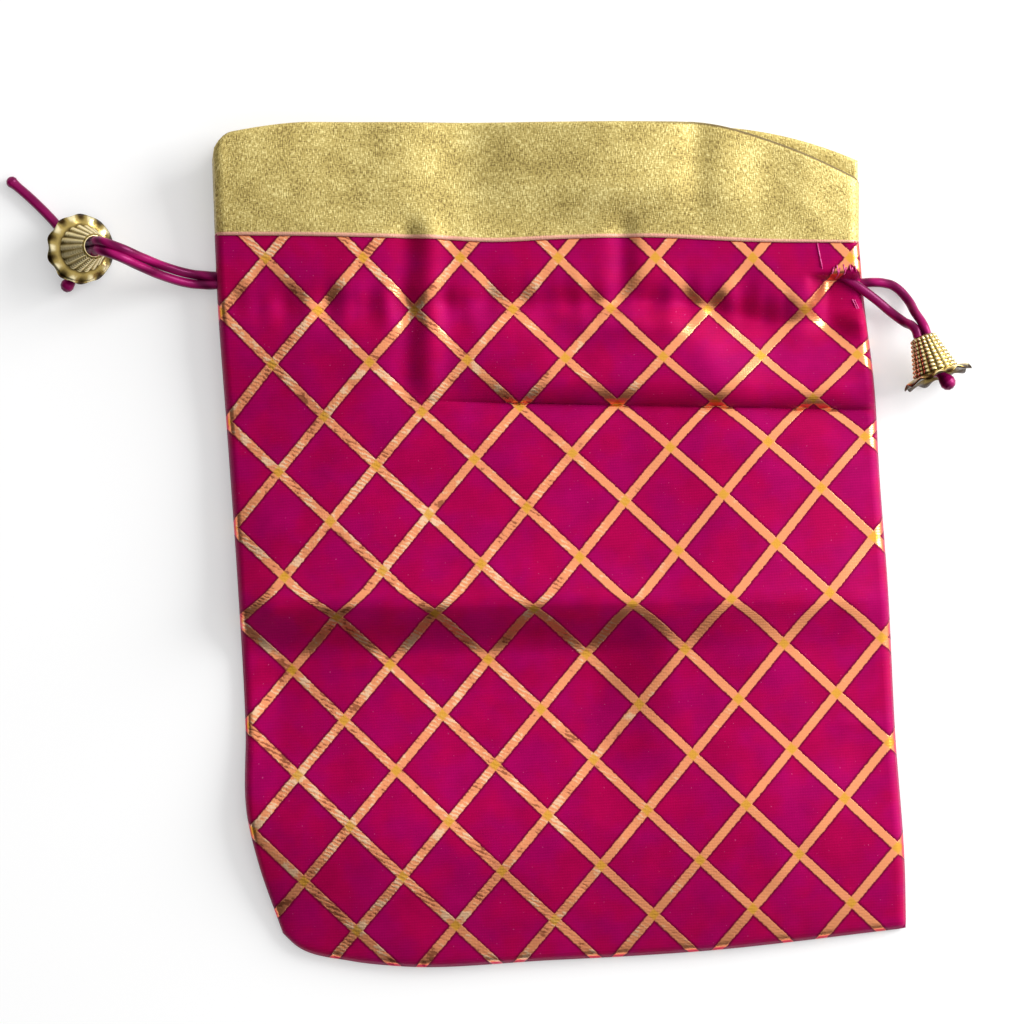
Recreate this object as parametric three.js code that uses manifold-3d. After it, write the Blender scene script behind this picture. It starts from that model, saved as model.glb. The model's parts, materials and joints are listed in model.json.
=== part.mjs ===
// Potli bag: a drawstring pouch of foil-printed cloth with a gold tissue band round its mouth.
// It lies on its back as an empty bag does, a little puffed, with the mouth towards +Y.
// Two cords run in opposite directions through the channel under the band. The ends of each
// come out of one side, pass through a beaded bell and are knotted in its mouth.
// Millimetres, +Z up. The origin is on the floor under the middle of the bag.

import * as THREE from 'three';
import { mergeVertices } from 'three/addons/utils/BufferGeometryUtils.js';
import Module from 'manifold-3d';

const wasm = await Module();
wasm.setup();

// Outline of the bag as it lies
const BAG_LENGTH = 231;
const MOUTH_WIDTH = 177;
const BAND_HEIGHT = 31;
const RIGHT_LEAN = 13;
const RIGHT_BOW = 1.5;
const LEFT_LEAN = 9.5;
const BOTTOM_SLOPE = 11;
const CORNER_WIDTH = 21;
const CORNER_HEIGHT = 38;

// Cloth, tissue and the clearances between sewn layers
const CLOTH = 0.9;
const TISSUE = 0.5;
const SEAM_GAP = 0.3;
const CLEAR = 0.5;
const FOLD_ROOM = 1;

// Foil lattice printed on the cloth, measured on the flat
const LATTICE_ACROSS = 26.8;
const LATTICE_DOWN = 28.8;
const FOIL_WIDTH = 3.3;
const FIRST_CROSSING_IN = 13.2;
const FIRST_CROSSING_DOWN = 6;

// Puff, folds and gathers of the front
const EDGE_ROUND = 30;
const NECK_OPEN = 4.8;
const NECK_LENGTH = 24;
const BODY_PUFF = 10;
const BODY_EASE = 40;
const MOUTH_PUFF = 9.5;
const MOUTH_WAVE = 0.8;
const MOUTH_WAVE_PITCH = 30;
const UPPER_FOLD_DROP = 44;
const UPPER_FOLD_HEIGHT = 3;
const UPPER_FOLD_FROM = 50;
const UPPER_FOLD_FULL = 140;
const LOWER_FOLD_DROP = 101;
const LOWER_FOLD_HEIGHT = 2.2;
const FOLD_SPREAD = 6;
const PLEAT_IN = 57;
const PLEAT_DEPTH = 2.5;
const PLEAT_SPREAD = 5;
const GATHER_HEIGHT = 1;
const GATHER_PITCH = 22;
const GATHER_REACH = 14;

// Corners of the mouth
const LEFT_CORNER_DROP = 7;
const LEFT_CORNER_REACH = 21;
const RIGHT_CORNER_REACH = 44;
const FRONT_CORNER_DROP = 15.5;
const BACK_CORNER_DROP = 10.5;
const LEFT_CORNER_POWER = 2;
const RIGHT_CORNER_POWER = 1.3;

// Drawstring channel
const CORD = 2.3;
const CHANNEL_DROP = 13;
const CHANNEL_END = 19;
const CORD_SPACING = 3;
const FACING_INSET = 23;
const SLIT_NOTCH = 5;
const SLIT_SPREAD = 5;
const SLIT_POWER = 8;
const SLIT_INSET = 6;
const FRONT_EXIT_UP = 2.5;
const BACK_EXIT_UP = 0;
const TURN_INSET = 13;

// Beaded bells and knots
const BELL_HEIGHT = 12.8;
const BRIM_RADIUS = 9.5;
const BRIM_THICKNESS = 0.7;
const BRIM_RISE = 1.6;
const CONE_FOOT_RADIUS = 6;
const CONE_TOP_RADIUS = 3.2;
const BELL_WALL = 0.7;
const BEAD_RINGS = 8;
const BEAD_COLUMNS = 12;
const BEAD_RELIEF = 0.3;
const BRIM_SCALLOP = 0.5;
const BORE_CLEAR = 0.25;
const STRAND_GAP = 0.2;
const KNOT_RADIUS = 3;
const KNOT_RISE = 2.2;

// Where the bells lie, from the slits that their cords come out of
const LEFT_BELL_OUT = 36.3;
const LEFT_BELL_UP = 9.5;
const LEFT_BELL_TILT = THREE.MathUtils.degToRad(25);
const RIGHT_BELL_OUT = 21.3;
const RIGHT_BELL_DOWN = 26.6;
const RIGHT_BELL_TURN = THREE.MathUtils.degToRad(-70.8);
const RIGHT_BELL_SLOPE = THREE.MathUtils.degToRad(6);

// Facets
const PANEL_DIVISIONS = 2;
const BACK_DIVISIONS = 1;
const BAND_STATIONS = 17;
const BAND_STEPS = 3;
const FACING_STEPS = 3;
const CORD_SIDES = 8;
const DRAWSTRING_STEPS = 80;
const RISE_STEPS = 3;
const KNOT_SIDES = 14;
const TAIL_STEPS = 6;
const WELD = 0.002;

// Worked out from the sizes above
const boxWidth = MOUTH_WIDTH + RIGHT_LEAN;
const leftX = -boxWidth / 2;
const rightX = leftX + MOUTH_WIDTH;
const bottomY = -BAG_LENGTH / 2;
const seamY = BAG_LENGTH / 2 - BAND_HEIGHT;
const bodyLength = seamY - bottomY;
const channelY = seamY - CHANNEL_DROP;
const cordRadius = CORD / 2;
const floorCordZ = cordRadius + SEAM_GAP;
const backCordZ = CLOTH + CLEAR + cordRadius;
const backFacingZ = CLOTH + 2 * CLEAR + CORD;
const neckUnderside = backFacingZ + TISSUE + NECK_OPEN + TISSUE + 2 * CLEAR + CORD;
const slitLift = CORD + 2 * CLEAR;
const neckPuff = neckUnderside - CLOTH - SEAM_GAP;
const backBandStack = 2 * TISSUE + CLEAR;
const frontBandEdge = backBandStack + SEAM_GAP + TISSUE + FOLD_ROOM;

// Materials
function finish(color, roughness, metalness) {
  return new THREE.MeshStandardMaterial({ color, roughness, metalness, side: THREE.DoubleSide });
}
const magentaCloth = finish(0xa30b5a, 0.55, 0);
const goldFoil = finish(0xd79a45, 0.4, 0.7);
const goldTissue = finish(0xc0a452, 0.5, 0.4);
const satinCord = finish(0xb3124f, 0.45, 0);
const bellMetal = finish(0xb08a3c, 0.35, 0.9);

// Closed geometry to solid and back
function solidOf(geometry) {
  const bare = geometry.clone();
  bare.deleteAttribute('normal');
  bare.deleteAttribute('uv');
  const welded = mergeVertices(bare);
  return new wasm.Manifold(new wasm.Mesh({
    numProp: 3,
    vertProperties: new Float32Array(welded.attributes.position.array),
    triVerts: new Uint32Array(welded.index.array),
  }));
}

function geometryOf(solid) {
  const mesh = solid.getMesh();
  const geometry = new THREE.BufferGeometry();
  geometry.setAttribute('position', new THREE.BufferAttribute(new Float32Array(mesh.vertProperties), 3));
  geometry.setIndex(new THREE.BufferAttribute(new Uint32Array(mesh.triVerts), 1));
  geometry.computeVertexNormals();
  return geometry;
}

// A skin lofted through closed rings of points along X, capped at both ends, faces outwards
function loft(givenRings) {
  const flat = (ring) => ring.map((point) => new THREE.Vector2(point.y, point.z));
  const turned = THREE.ShapeUtils.area(flat(givenRings[0])) < 0;
  const rings = turned ? givenRings.map((ring) => ring.toReversed()) : givenRings;
  const count = rings[0].length;
  const lastStart = (rings.length - 1) * count;
  const index = [];
  for (let ring = 0; ring + 1 < rings.length; ring += 1) {
    for (let k = 0; k < count; k += 1) {
      const a = ring * count + k;
      const b = ring * count + (k + 1) % count;
      index.push(a, b, a + count, b, b + count, a + count);
    }
  }
  for (const [a, b, c] of THREE.ShapeUtils.triangulateShape(flat(rings[0]), [])) {
    index.push(a, c, b);
  }
  for (const [a, b, c] of THREE.ShapeUtils.triangulateShape(flat(rings.at(-1)), [])) {
    index.push(lastStart + a, lastStart + b, lastStart + c);
  }
  const geometry = new THREE.BufferGeometry();
  const positions = rings.flat().flatMap((point) => point.toArray());
  geometry.setAttribute('position', new THREE.Float32BufferAttribute(positions, 3));
  geometry.setIndex(index);
  geometry.computeVertexNormals();
  return geometry;
}

// Side edges of the body from the band's seam to the bottom. The left bottom corner is tucked in.
const cornerTop = new THREE.Vector2(leftX + LEFT_LEAN, bottomY + CORNER_HEIGHT);
const leftEdge = new THREE.SplineCurve([
  new THREE.Vector2(leftX, seamY),
  new THREE.Vector2(leftX + LEFT_LEAN / 2, (seamY + cornerTop.y) / 2),
  cornerTop,
  new THREE.Vector2(cornerTop.x + CORNER_WIDTH, bottomY),
]);
const rightEdge = new THREE.SplineCurve([
  new THREE.Vector2(rightX, seamY),
  new THREE.Vector2(rightX + RIGHT_LEAN / 2 + RIGHT_BOW, (seamY + bottomY + BOTTOM_SLOPE) / 2),
  new THREE.Vector2(rightX + RIGHT_LEAN, bottomY + BOTTOM_SLOPE),
]);

function bell(distance, spread) {
  return Math.exp(-((distance / spread) ** 2));
}

// How far the right side is drawn in at the slit that the cord comes out of
function slitNotch(across) {
  return SLIT_NOTCH * (across / MOUTH_WIDTH) ** SLIT_POWER;
}

// Where a point of the flat cloth lies on the floor: across from the left edge, up from the bottom
function layOut(across, up) {
  const down = bodyLength - up;
  const left = leftEdge.getPointAt(down / bodyLength);
  const right = rightEdge.getPointAt(down / bodyLength);
  const place = left.lerp(right, across / MOUTH_WIDTH);
  place.x -= slitNotch(across) * bell(down - CHANNEL_DROP, SLIT_SPREAD);
  return place;
}

// The puff rises from the side seams and the bottom as a round edge
function sideRise(across) {
  const inside = Math.min(across, MOUTH_WIDTH - across);
  return Math.sin((Math.PI / 2) * THREE.MathUtils.clamp(inside / EDGE_ROUND, 0, 1));
}
function bottomRise(up) {
  return Math.sin((Math.PI / 2) * THREE.MathUtils.clamp(up / EDGE_ROUND, 0, 1));
}

// Height of the front cloth's underside over the floor, without its folds
function puffHeight(across, down) {
  const past = THREE.MathUtils.smoothstep(down, CHANNEL_END, CHANNEL_END + SLIT_SPREAD);
  const lift = slitLift * (1 - past);
  const ease = THREE.MathUtils.smoothstep(down, NECK_LENGTH, NECK_LENGTH + BODY_EASE);
  const puff = THREE.MathUtils.lerp(neckPuff, BODY_PUFF, ease);
  const rise = sideRise(across) * bottomRise(bodyLength - down);
  return CLOTH + SEAM_GAP + lift + (puff - lift) * rise;
}

// Two folds across, one deep pleat under the band, and the gathers that the drawstrings make
function foldHeight(across, down) {
  const crease = (offset) => bell(offset + FOLD_SPREAD, FOLD_SPREAD)
    - bell(offset - FOLD_SPREAD / 2, FOLD_SPREAD);
  const upperRun = THREE.MathUtils.smoothstep(across, UPPER_FOLD_FROM, UPPER_FOLD_FULL);
  const upper = UPPER_FOLD_HEIGHT * upperRun * crease(down - UPPER_FOLD_DROP);
  const lower = LOWER_FOLD_HEIGHT * crease(down - LOWER_FOLD_DROP);
  const pleatStart = THREE.MathUtils.smoothstep(down, CHANNEL_END, CHANNEL_END + PLEAT_SPREAD);
  const pleatEnd = THREE.MathUtils.smoothstep(
    down, UPPER_FOLD_DROP - PLEAT_SPREAD, UPPER_FOLD_DROP + PLEAT_SPREAD);
  const pleat = PLEAT_DEPTH * bell(across - PLEAT_IN, PLEAT_SPREAD) * pleatStart * (1 - pleatEnd);
  const wave = (1 - Math.cos((2 * Math.PI * across) / GATHER_PITCH)) / 2;
  const gather = GATHER_HEIGHT * wave * bell(down - CHANNEL_DROP, GATHER_REACH)
    * THREE.MathUtils.smoothstep(down, 0, CHANNEL_DROP);
  return (upper + lower + gather - pleat) * sideRise(across) * bottomRise(bodyLength - down);
}

// Flat cloth cut to size, divided along the edges of the foil lines so that each facet is cloth or foil
const latticeStep = (LATTICE_ACROSS * LATTICE_DOWN) / Math.hypot(LATTICE_ACROSS, LATTICE_DOWN);
const foilShare = FOIL_WIDTH / 2 / latticeStep;
const firstUp = bodyLength - FIRST_CROSSING_DOWN;
const columnOf = (across) => (across - FIRST_CROSSING_IN) / LATTICE_ACROSS;
const rowOf = (up) => (up - firstUp) / LATTICE_DOWN;
const toRising = (across, up) => columnOf(across) + rowOf(up);
const toFalling = (across, up) => columnOf(across) - rowOf(up);
const offLine = (value) => Math.abs(value - Math.round(value));

function isFoil(across, up) {
  return Math.min(offLine(toRising(across, up)), offLine(toFalling(across, up))) < foilShare;
}

function lineCuts(lowest, highest, divisions) {
  const cuts = [];
  for (let line = Math.floor(lowest) - 1; line <= Math.ceil(highest) + 1; line += 1) {
    cuts.push(line - foilShare, line + foilShare);
    for (let part = 1; part < divisions; part += 1) {
      cuts.push(line + foilShare + ((1 - 2 * foilShare) * part) / divisions);
    }
  }
  return cuts;
}

// The part of a convex outline where inside() isn't negative
function clip(outline, inside) {
  return outline.flatMap((point, k) => {
    const next = outline[(k + 1) % outline.length];
    const [here, there] = [inside(point), inside(next)];
    const kept = here >= 0 ? [point] : [];
    if (here * there < 0) kept.push(point.clone().lerp(next, here / (here - there)));
    return kept;
  });
}

const clothSides = [
  (point) => point.x,
  (point) => MOUTH_WIDTH - point.x,
  (point) => point.y,
  (point) => bodyLength - point.y,
];

function flatCloth(divisions) {
  const rising = lineCuts(toRising(0, 0), toRising(MOUTH_WIDTH, bodyLength), divisions);
  const falling = lineCuts(toFalling(0, bodyLength), toFalling(MOUTH_WIDTH, 0), divisions);
  const spotAt = (a, b) => new THREE.Vector2(
    FIRST_CROSSING_IN + (LATTICE_ACROSS * (a + b)) / 2, firstUp + (LATTICE_DOWN * (a - b)) / 2);
  const points = [];
  const faces = [];
  const numberOf = (point) => {
    const known = points.findIndex((other) => other.distanceTo(point) < WELD);
    return known < 0 ? points.push(point) - 1 : known;
  };
  for (let i = 0; i + 1 < rising.length; i += 1) {
    for (let j = 0; j + 1 < falling.length; j += 1) {
      const corners = [[i, j], [i, j + 1], [i + 1, j + 1], [i + 1, j]];
      const cell = corners.map(([m, n]) => spotAt(rising[m], falling[n]));
      const kept = [...new Set(clothSides.reduce(clip, cell).map(numberOf))];
      for (let k = 1; k + 1 < kept.length; k += 1) faces.push([kept[0], kept[k], kept[k + 1]]);
    }
  }
  return { points, faces };
}

// A panel of the body: the flat cloth laid out at its heights, with the foil on its outer face
function clothPanel(name, divisions, foilOnTop, heightOf) {
  const { points, faces } = flatCloth(divisions);
  const count = points.length;
  const positions = [];
  for (const layer of [CLOTH, 0]) {
    for (const { x: across, y: up } of points) {
      const spot = layOut(across, up);
      positions.push(spot.x, spot.y, heightOf(across, bodyLength - up) + layer);
    }
  }
  const plain = [];
  const foil = [];
  const edges = new Set(faces.flatMap(([a, b, c]) => [`${a} ${b}`, `${b} ${c}`, `${c} ${a}`]));
  for (const [a, b, c] of faces) {
    const middle = points[a].clone().add(points[b]).add(points[c]).divideScalar(3);
    const onFoil = isFoil(middle.x, middle.y);
    (onFoil && foilOnTop ? foil : plain).push(a, b, c);
    (onFoil && !foilOnTop ? foil : plain).push(a + count, c + count, b + count);
    for (const [from, to] of [[a, b], [b, c], [c, a]]) {
      if (!edges.has(`${to} ${from}`)) plain.push(to, from, from + count, to, from + count, to + count);
    }
  }
  const geometry = new THREE.BufferGeometry();
  geometry.setAttribute('position', new THREE.Float32BufferAttribute(positions, 3));
  geometry.setIndex([...plain, ...foil]);
  geometry.addGroup(0, plain.length, 0);
  geometry.addGroup(plain.length, foil.length, 1);
  geometry.computeVertexNormals();
  const mesh = new THREE.Mesh(geometry, [magentaCloth, goldFoil]);
  mesh.name = name;
  return mesh;
}

const frontPanel = clothPanel('front_panel', PANEL_DIVISIONS, true,
  (across, down) => puffHeight(across, down) + foldHeight(across, down));
const backPanel = clothPanel('back_panel', BACK_DIVISIONS, false, () => 0);

// The band: a strip of tissue folded over the mouth's edge. Its outer layer runs from the seam to the
// mouth, and its inner layer runs back down past the seam as the facing that closes the channel.
function mouthTop(across, rightDrop) {
  const left = Math.max(0, 1 - across / LEFT_CORNER_REACH) ** LEFT_CORNER_POWER;
  const right = Math.max(0, 1 - (MOUTH_WIDTH - across) / RIGHT_CORNER_REACH) ** RIGHT_CORNER_POWER;
  return seamY + BAND_HEIGHT - LEFT_CORNER_DROP * left - rightDrop * right;
}

function bandStations() {
  const inner = MOUTH_WIDTH - 2 * FACING_INSET;
  const stations = [0, FACING_INSET / 2, FACING_INSET - CLOTH];
  for (let k = 0; k <= BAND_STATIONS; k += 1) {
    stations.push(FACING_INSET + (inner * k) / BAND_STATIONS);
  }
  stations.push(MOUTH_WIDTH - FACING_INSET + CLOTH, MOUTH_WIDTH - FACING_INSET / 2, MOUTH_WIDTH);
  return stations;
}

function band(name, rightDrop, layers) {
  const rings = bandStations().map((across) => {
    const top = mouthTop(across, rightDrop);
    const foot = seamY + SEAM_GAP;
    const inset = Math.min(across, MOUTH_WIDTH - across);
    const drop = inset >= FACING_INSET ? CHANNEL_END : TISSUE;
    const point = (y, z) => new THREE.Vector3(leftX + across, y, z);
    const height = (step, edge) => THREE.MathUtils.lerp(foot, top - edge, step / BAND_STEPS);
    const { outer, inside, sign } = layers(across, inset >= FACING_INSET - 2 * CLOTH);
    const upSteps = Array.from({ length: BAND_STEPS + 1 }, (_, k) => k);
    const downSteps = Array.from({ length: FACING_STEPS }, (_, k) => k + 1);
    const onBand = (layer, edge, offset) => (k) => point(height(k, edge), layer(k / BAND_STEPS) + offset);
    const onFacing = (offset) => (k) => point(
      foot - (drop * k) / FACING_STEPS, inside(-k / FACING_STEPS) + offset);
    return [
      ...upSteps.map(onBand(outer, 0, sign * TISSUE)),
      ...upSteps.toReversed().map(onBand(inside, 0, -sign * TISSUE)),
      ...downSteps.map(onFacing(-sign * TISSUE)),
      ...downSteps.toReversed().map(onFacing(0)),
      ...upSteps.map(onBand(inside, TISSUE, 0)),
      ...upSteps.toReversed().map(onBand(outer, TISSUE, 0)),
    ];
  });
  const mesh = new THREE.Mesh(loft(rings), goldTissue);
  mesh.name = name;
  return mesh;
}

// How far the facing has gone over from the band's height to the channel's, from 0 at the seam
function facingShare(step) {
  return THREE.MathUtils.smoothstep(-step, 0, 1 / FACING_STEPS);
}

const frontBand = band('front_band', FRONT_CORNER_DROP, (across, facing) => {
  const seamHeight = puffHeight(across, 0);
  const wave = MOUTH_WAVE * Math.cos((2 * Math.PI * across) / MOUTH_WAVE_PITCH);
  const mouthHeight = frontBandEdge + (MOUTH_PUFF + wave) * sideRise(across);
  const outer = (step) => THREE.MathUtils.lerp(seamHeight, mouthHeight, step);
  const underCord = puffHeight(across + slitNotch(across), CHANNEL_DROP) - 2 * CLEAR - CORD;
  const facingHeight = facing ? underCord : seamHeight - FOLD_ROOM;
  const inside = (step) => THREE.MathUtils.lerp(
    outer(Math.max(step, 0)) - FOLD_ROOM, facingHeight, facingShare(step));
  return { outer, inside, sign: 1 };
});
const backBand = band('back_band', BACK_CORNER_DROP, (across, facing) => {
  const outer = () => TISSUE;
  const channelRise = facing ? CORD + CLEAR : 0;
  const inside = (step) => TISSUE + CLEAR + (CLOTH - TISSUE + channelRise) * facingShare(step);
  return { outer, inside, sign: -1 };
});

// Beaded bell, mouth down on its own XY plane: a flared scalloped brim, rings of beads, a bored top
const boreRadius = CORD + STRAND_GAP / 2 + BORE_CLEAR;
const coneFoot = BRIM_THICKNESS + BRIM_RISE;

function bellGeometry() {
  const coneRadius = (height) => THREE.MathUtils.mapLinear(
    height, coneFoot, BELL_HEIGHT, CONE_FOOT_RADIUS, CONE_TOP_RADIUS);
  const ringHeight = (BELL_HEIGHT - coneFoot) / BEAD_RINGS;
  const boreFoot = BELL_HEIGHT - ringHeight;
  const hollowTop = Math.max(boreRadius, coneRadius(boreFoot) - BELL_WALL);
  const profile = [new THREE.Vector2(BRIM_RADIUS, 0), new THREE.Vector2(BRIM_RADIUS, BRIM_THICKNESS)];
  for (let ring = 0; ring < BEAD_RINGS; ring += 1) {
    const foot = coneFoot + ring * ringHeight;
    profile.push(new THREE.Vector2(coneRadius(foot), foot));
    profile.push(new THREE.Vector2(coneRadius(foot + ringHeight / 2) + BEAD_RELIEF, foot + ringHeight / 2));
  }
  profile.push(
    new THREE.Vector2(CONE_TOP_RADIUS, BELL_HEIGHT),
    new THREE.Vector2(boreRadius, BELL_HEIGHT),
    new THREE.Vector2(boreRadius, boreFoot),
    new THREE.Vector2(hollowTop, boreFoot - BELL_WALL / 2),
    new THREE.Vector2(CONE_FOOT_RADIUS - BELL_WALL, coneFoot - BELL_WALL),
    new THREE.Vector2(BRIM_RADIUS - BRIM_SCALLOP - BELL_WALL, 0),
    new THREE.Vector2(BRIM_RADIUS, 0),
  );
  const geometry = new THREE.LatheGeometry(profile, 2 * BEAD_COLUMNS);
  geometry.rotateX(Math.PI / 2);
  const place = geometry.attributes.position;
  for (let k = 0; k < place.count; k += 1) {
    const radius = Math.hypot(place.getX(k), place.getY(k));
    const swing = (1 - Math.cos(BEAD_COLUMNS * Math.atan2(place.getY(k), place.getX(k)))) / 2;
    const onBrim = radius > BRIM_RADIUS - BRIM_SCALLOP / 2;
    const onBead = !onBrim && radius > coneRadius(place.getZ(k)) + BEAD_RELIEF / 2;
    const cut = onBrim ? BRIM_SCALLOP : BEAD_RELIEF;
    const scale = onBrim || onBead ? (radius - cut * swing) / radius : 1;
    place.setXYZ(k, place.getX(k) * scale, place.getY(k) * scale, place.getZ(k));
  }
  geometry.computeVertexNormals();
  return geometry;
}

function bellAt(name, brimCentre, upAxis) {
  const mesh = new THREE.Mesh(bellGeometry(), bellMetal);
  mesh.name = name;
  mesh.position.copy(brimCentre);
  mesh.quaternion.setFromUnitVectors(new THREE.Vector3(0, 0, 1), upAxis);
  return mesh;
}

// The left bell stands on its brim and leans towards the bag. The right bell lies on its side, and
// its two strands keep its top off the floor.
const leftUp = new THREE.Vector3(Math.sin(LEFT_BELL_TILT), 0, Math.cos(LEFT_BELL_TILT));
const leftBrim = new THREE.Vector3(
  leftX - LEFT_BELL_OUT, channelY + LEFT_BELL_UP, BRIM_RADIUS * Math.sin(LEFT_BELL_TILT));
const rightUp = new THREE.Vector3(
  -Math.cos(RIGHT_BELL_TURN) * Math.cos(RIGHT_BELL_SLOPE),
  -Math.sin(RIGHT_BELL_TURN) * Math.cos(RIGHT_BELL_SLOPE),
  -Math.sin(RIGHT_BELL_SLOPE),
);
const rightBrimHeight = BRIM_RADIUS * Math.cos(RIGHT_BELL_SLOPE)
  + BRIM_THICKNESS * Math.sin(RIGHT_BELL_SLOPE);
const rightBrim = new THREE.Vector3(
  rightX + RIGHT_BELL_OUT, channelY - RIGHT_BELL_DOWN, rightBrimHeight);
const leftBell = bellAt('left_bell', leftBrim, leftUp);
const rightBell = bellAt('right_bell', rightBrim, rightUp);

// Cords
function cordTube(points, steps) {
  const section = new THREE.Shape();
  section.absarc(0, 0, cordRadius, 0, 2 * Math.PI);
  const extrudePath = new THREE.CatmullRomCurve3(points, false, 'centripetal');
  return new THREE.ExtrudeGeometry(section, {
    steps, extrudePath, curveSegments: CORD_SIDES / 2, bevelEnabled: false,
  });
}

// A strand's run inside a bell, from the knot to just past the top, beside the bell's axis
const strandOffset = (CORD + STRAND_GAP) / 2;
function strandInBell(brimCentre, upAxis, beside) {
  const start = KNOT_RISE + KNOT_RADIUS + CLEAR;
  const heights = [start, (start + BELL_HEIGHT) / 2, BELL_HEIGHT, BELL_HEIGHT + CORD];
  return heights.map((height) => brimCentre.clone()
    .addScaledVector(upAxis, height).addScaledVector(beside, strandOffset));
}

// The loop through the channel: in through the front from one side, round at the other, out along the back
function channelLoop(fromLeft) {
  const side = fromLeft ? 1 : -1;
  const lane = channelY + (side * CORD_SPACING) / 2;
  const across = (inset) => (fromLeft ? inset : MOUTH_WIDTH - inset);
  const x = (inset) => leftX + across(inset) - slitNotch(across(inset));
  const front = (inset) => puffHeight(across(inset), CHANNEL_DROP) - CLEAR - cordRadius;
  const turnHigh = front(MOUTH_WIDTH - TURN_INSET);
  const turnRadius = (turnHigh - backCordZ) / 2;
  const turnStart = MOUTH_WIDTH - TURN_INSET;
  const riseStep = (EDGE_ROUND - TURN_INSET) / RISE_STEPS;
  const rising = Array.from({ length: RISE_STEPS + 2 }, (_, k) => TURN_INSET + riseStep * k);
  const falling = rising.slice(1).reverse().map((inset) => MOUTH_WIDTH - inset);
  const insets = [...rising, MOUTH_WIDTH / 2, ...falling];
  const turnAt = (share) => turnStart + turnRadius * share;
  const run = (inset, z, y) => new THREE.Vector3(x(inset), y, z);
  return [
    run(0, backCordZ, channelY + side * FRONT_EXIT_UP),
    run(SLIT_INSET, front(SLIT_INSET), (channelY + side * FRONT_EXIT_UP + lane) / 2),
    ...insets.map((inset) => run(inset, front(inset), lane)),
    run(turnStart, turnHigh, lane),
    run(turnAt(Math.SQRT1_2), turnHigh - turnRadius * (1 - Math.SQRT1_2), lane),
    run(turnAt(1), backCordZ + turnRadius, lane),
    run(turnAt(Math.SQRT1_2), backCordZ + turnRadius * (1 - Math.SQRT1_2), lane),
    run(turnStart, backCordZ, lane),
    ...insets.toReversed().map((inset) => run(inset, backCordZ, lane)),
    run(SLIT_INSET, backCordZ, lane),
    run(0, backCordZ, channelY + side * BACK_EXIT_UP),
  ];
}

const acrossLeft = new THREE.Vector3(0, 1, 0);
const acrossRight = new THREE.Vector3(-Math.sin(RIGHT_BELL_TURN), Math.cos(RIGHT_BELL_TURN), 0);

// Free strands, from the bell's top to the slit in the side seam: steps out and up from the slit
const offLeft = (out, up, z) => new THREE.Vector3(leftX - out, channelY + up, z);
const offRight = (out, up, z) => new THREE.Vector3(rightX + out, channelY + up, z);
const leftFrontStrand = [
  offLeft(24.6, 9.3, 20), offLeft(18, 6.4, 14.2), offLeft(11.5, 4.1, 6.9), offLeft(5.5, 2.8, 3),
];
const leftBackStrand = [
  offLeft(24.8, 6.7, 20.2), offLeft(18.6, 4, 15.2), offLeft(12, 1.5, 7.9), offLeft(6, 0.1, 3.6),
];
const rightFrontStrand = [
  offRight(12.2, -10.3, 4.4), offRight(9, -7.6, 1.9), offRight(4.8, -4.1, backCordZ),
];
const rightBackStrand = [
  offRight(15.4, -7.8, 4.6), offRight(13.7, -4.2, 1.9),
  offRight(10, -0.5, floorCordZ), offRight(4.6, 0.5, backCordZ),
];

const leftDrawstring = new THREE.Mesh(cordTube([
  ...strandInBell(leftBrim, leftUp, acrossLeft),
  ...leftFrontStrand,
  ...channelLoop(true),
  ...leftBackStrand.toReversed(),
  ...strandInBell(leftBrim, leftUp, acrossLeft.clone().negate()).toReversed(),
], DRAWSTRING_STEPS), satinCord);
leftDrawstring.name = 'left_drawstring';

const rightDrawstring = new THREE.Mesh(cordTube([
  ...strandInBell(rightBrim, rightUp, acrossRight.clone().negate()),
  ...rightFrontStrand,
  ...channelLoop(false),
  ...rightBackStrand.toReversed(),
  ...strandInBell(rightBrim, rightUp, acrossRight).toReversed(),
], DRAWSTRING_STEPS), satinCord);
rightDrawstring.name = 'right_drawstring';

// Knots that hold the bells, with their cut tails
function knotAt(name, centre, tails) {
  const ball = new THREE.SphereGeometry(KNOT_RADIUS, KNOT_SIDES, KNOT_SIDES / 2);
  ball.translate(centre.x, centre.y, centre.z);
  let solid = solidOf(ball);
  for (const tail of tails) solid = solid.add(solidOf(cordTube([centre, ...tail], TAIL_STEPS)));
  const mesh = new THREE.Mesh(geometryOf(solid), satinCord);
  mesh.name = name;
  return mesh;
}

const leftKnotCentre = leftBrim.clone().addScaledVector(leftUp, KNOT_RISE);
const rightKnotCentre = rightBrim.clone().addScaledVector(rightUp, KNOT_RISE);
const byLeftBell = (x, y, z) => new THREE.Vector3(leftBrim.x + x, leftBrim.y + y, z);
const byRightBell = (x, y, z) => new THREE.Vector3(rightBrim.x + x, rightBrim.y + y, z);
const longTail = [
  byLeftBell(-3.7, 3.5, 2), byLeftBell(-8.2, 8.6, 1.3),
  byLeftBell(-14.2, 14.5, cordRadius + WELD), byLeftBell(-19.7, 19, cordRadius + WELD),
];
const shortTail = [
  byLeftBell(-1, -5, 2.2), byLeftBell(-2.7, -8.5, 1.3), byLeftBell(-4, -10.6, cordRadius + WELD),
];
const rightTail = [byRightBell(1.6, -0.4, 9), byRightBell(3.2, -1.9, 8)];
const leftKnot = knotAt('left_knot', leftKnotCentre, [longTail, shortTail]);
const rightKnot = knotAt('right_knot', rightKnotCentre, [rightTail]);

const potliBag = new THREE.Group();
potliBag.name = 'potli_bag';
potliBag.add(frontPanel, backPanel, frontBand, backBand);
potliBag.add(leftDrawstring, rightDrawstring, leftBell, rightBell, leftKnot, rightKnot);

export default potliBag;
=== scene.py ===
import json
import math

import bmesh
import bpy
import numpy as np
from mathutils import Matrix, Vector, noise


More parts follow.
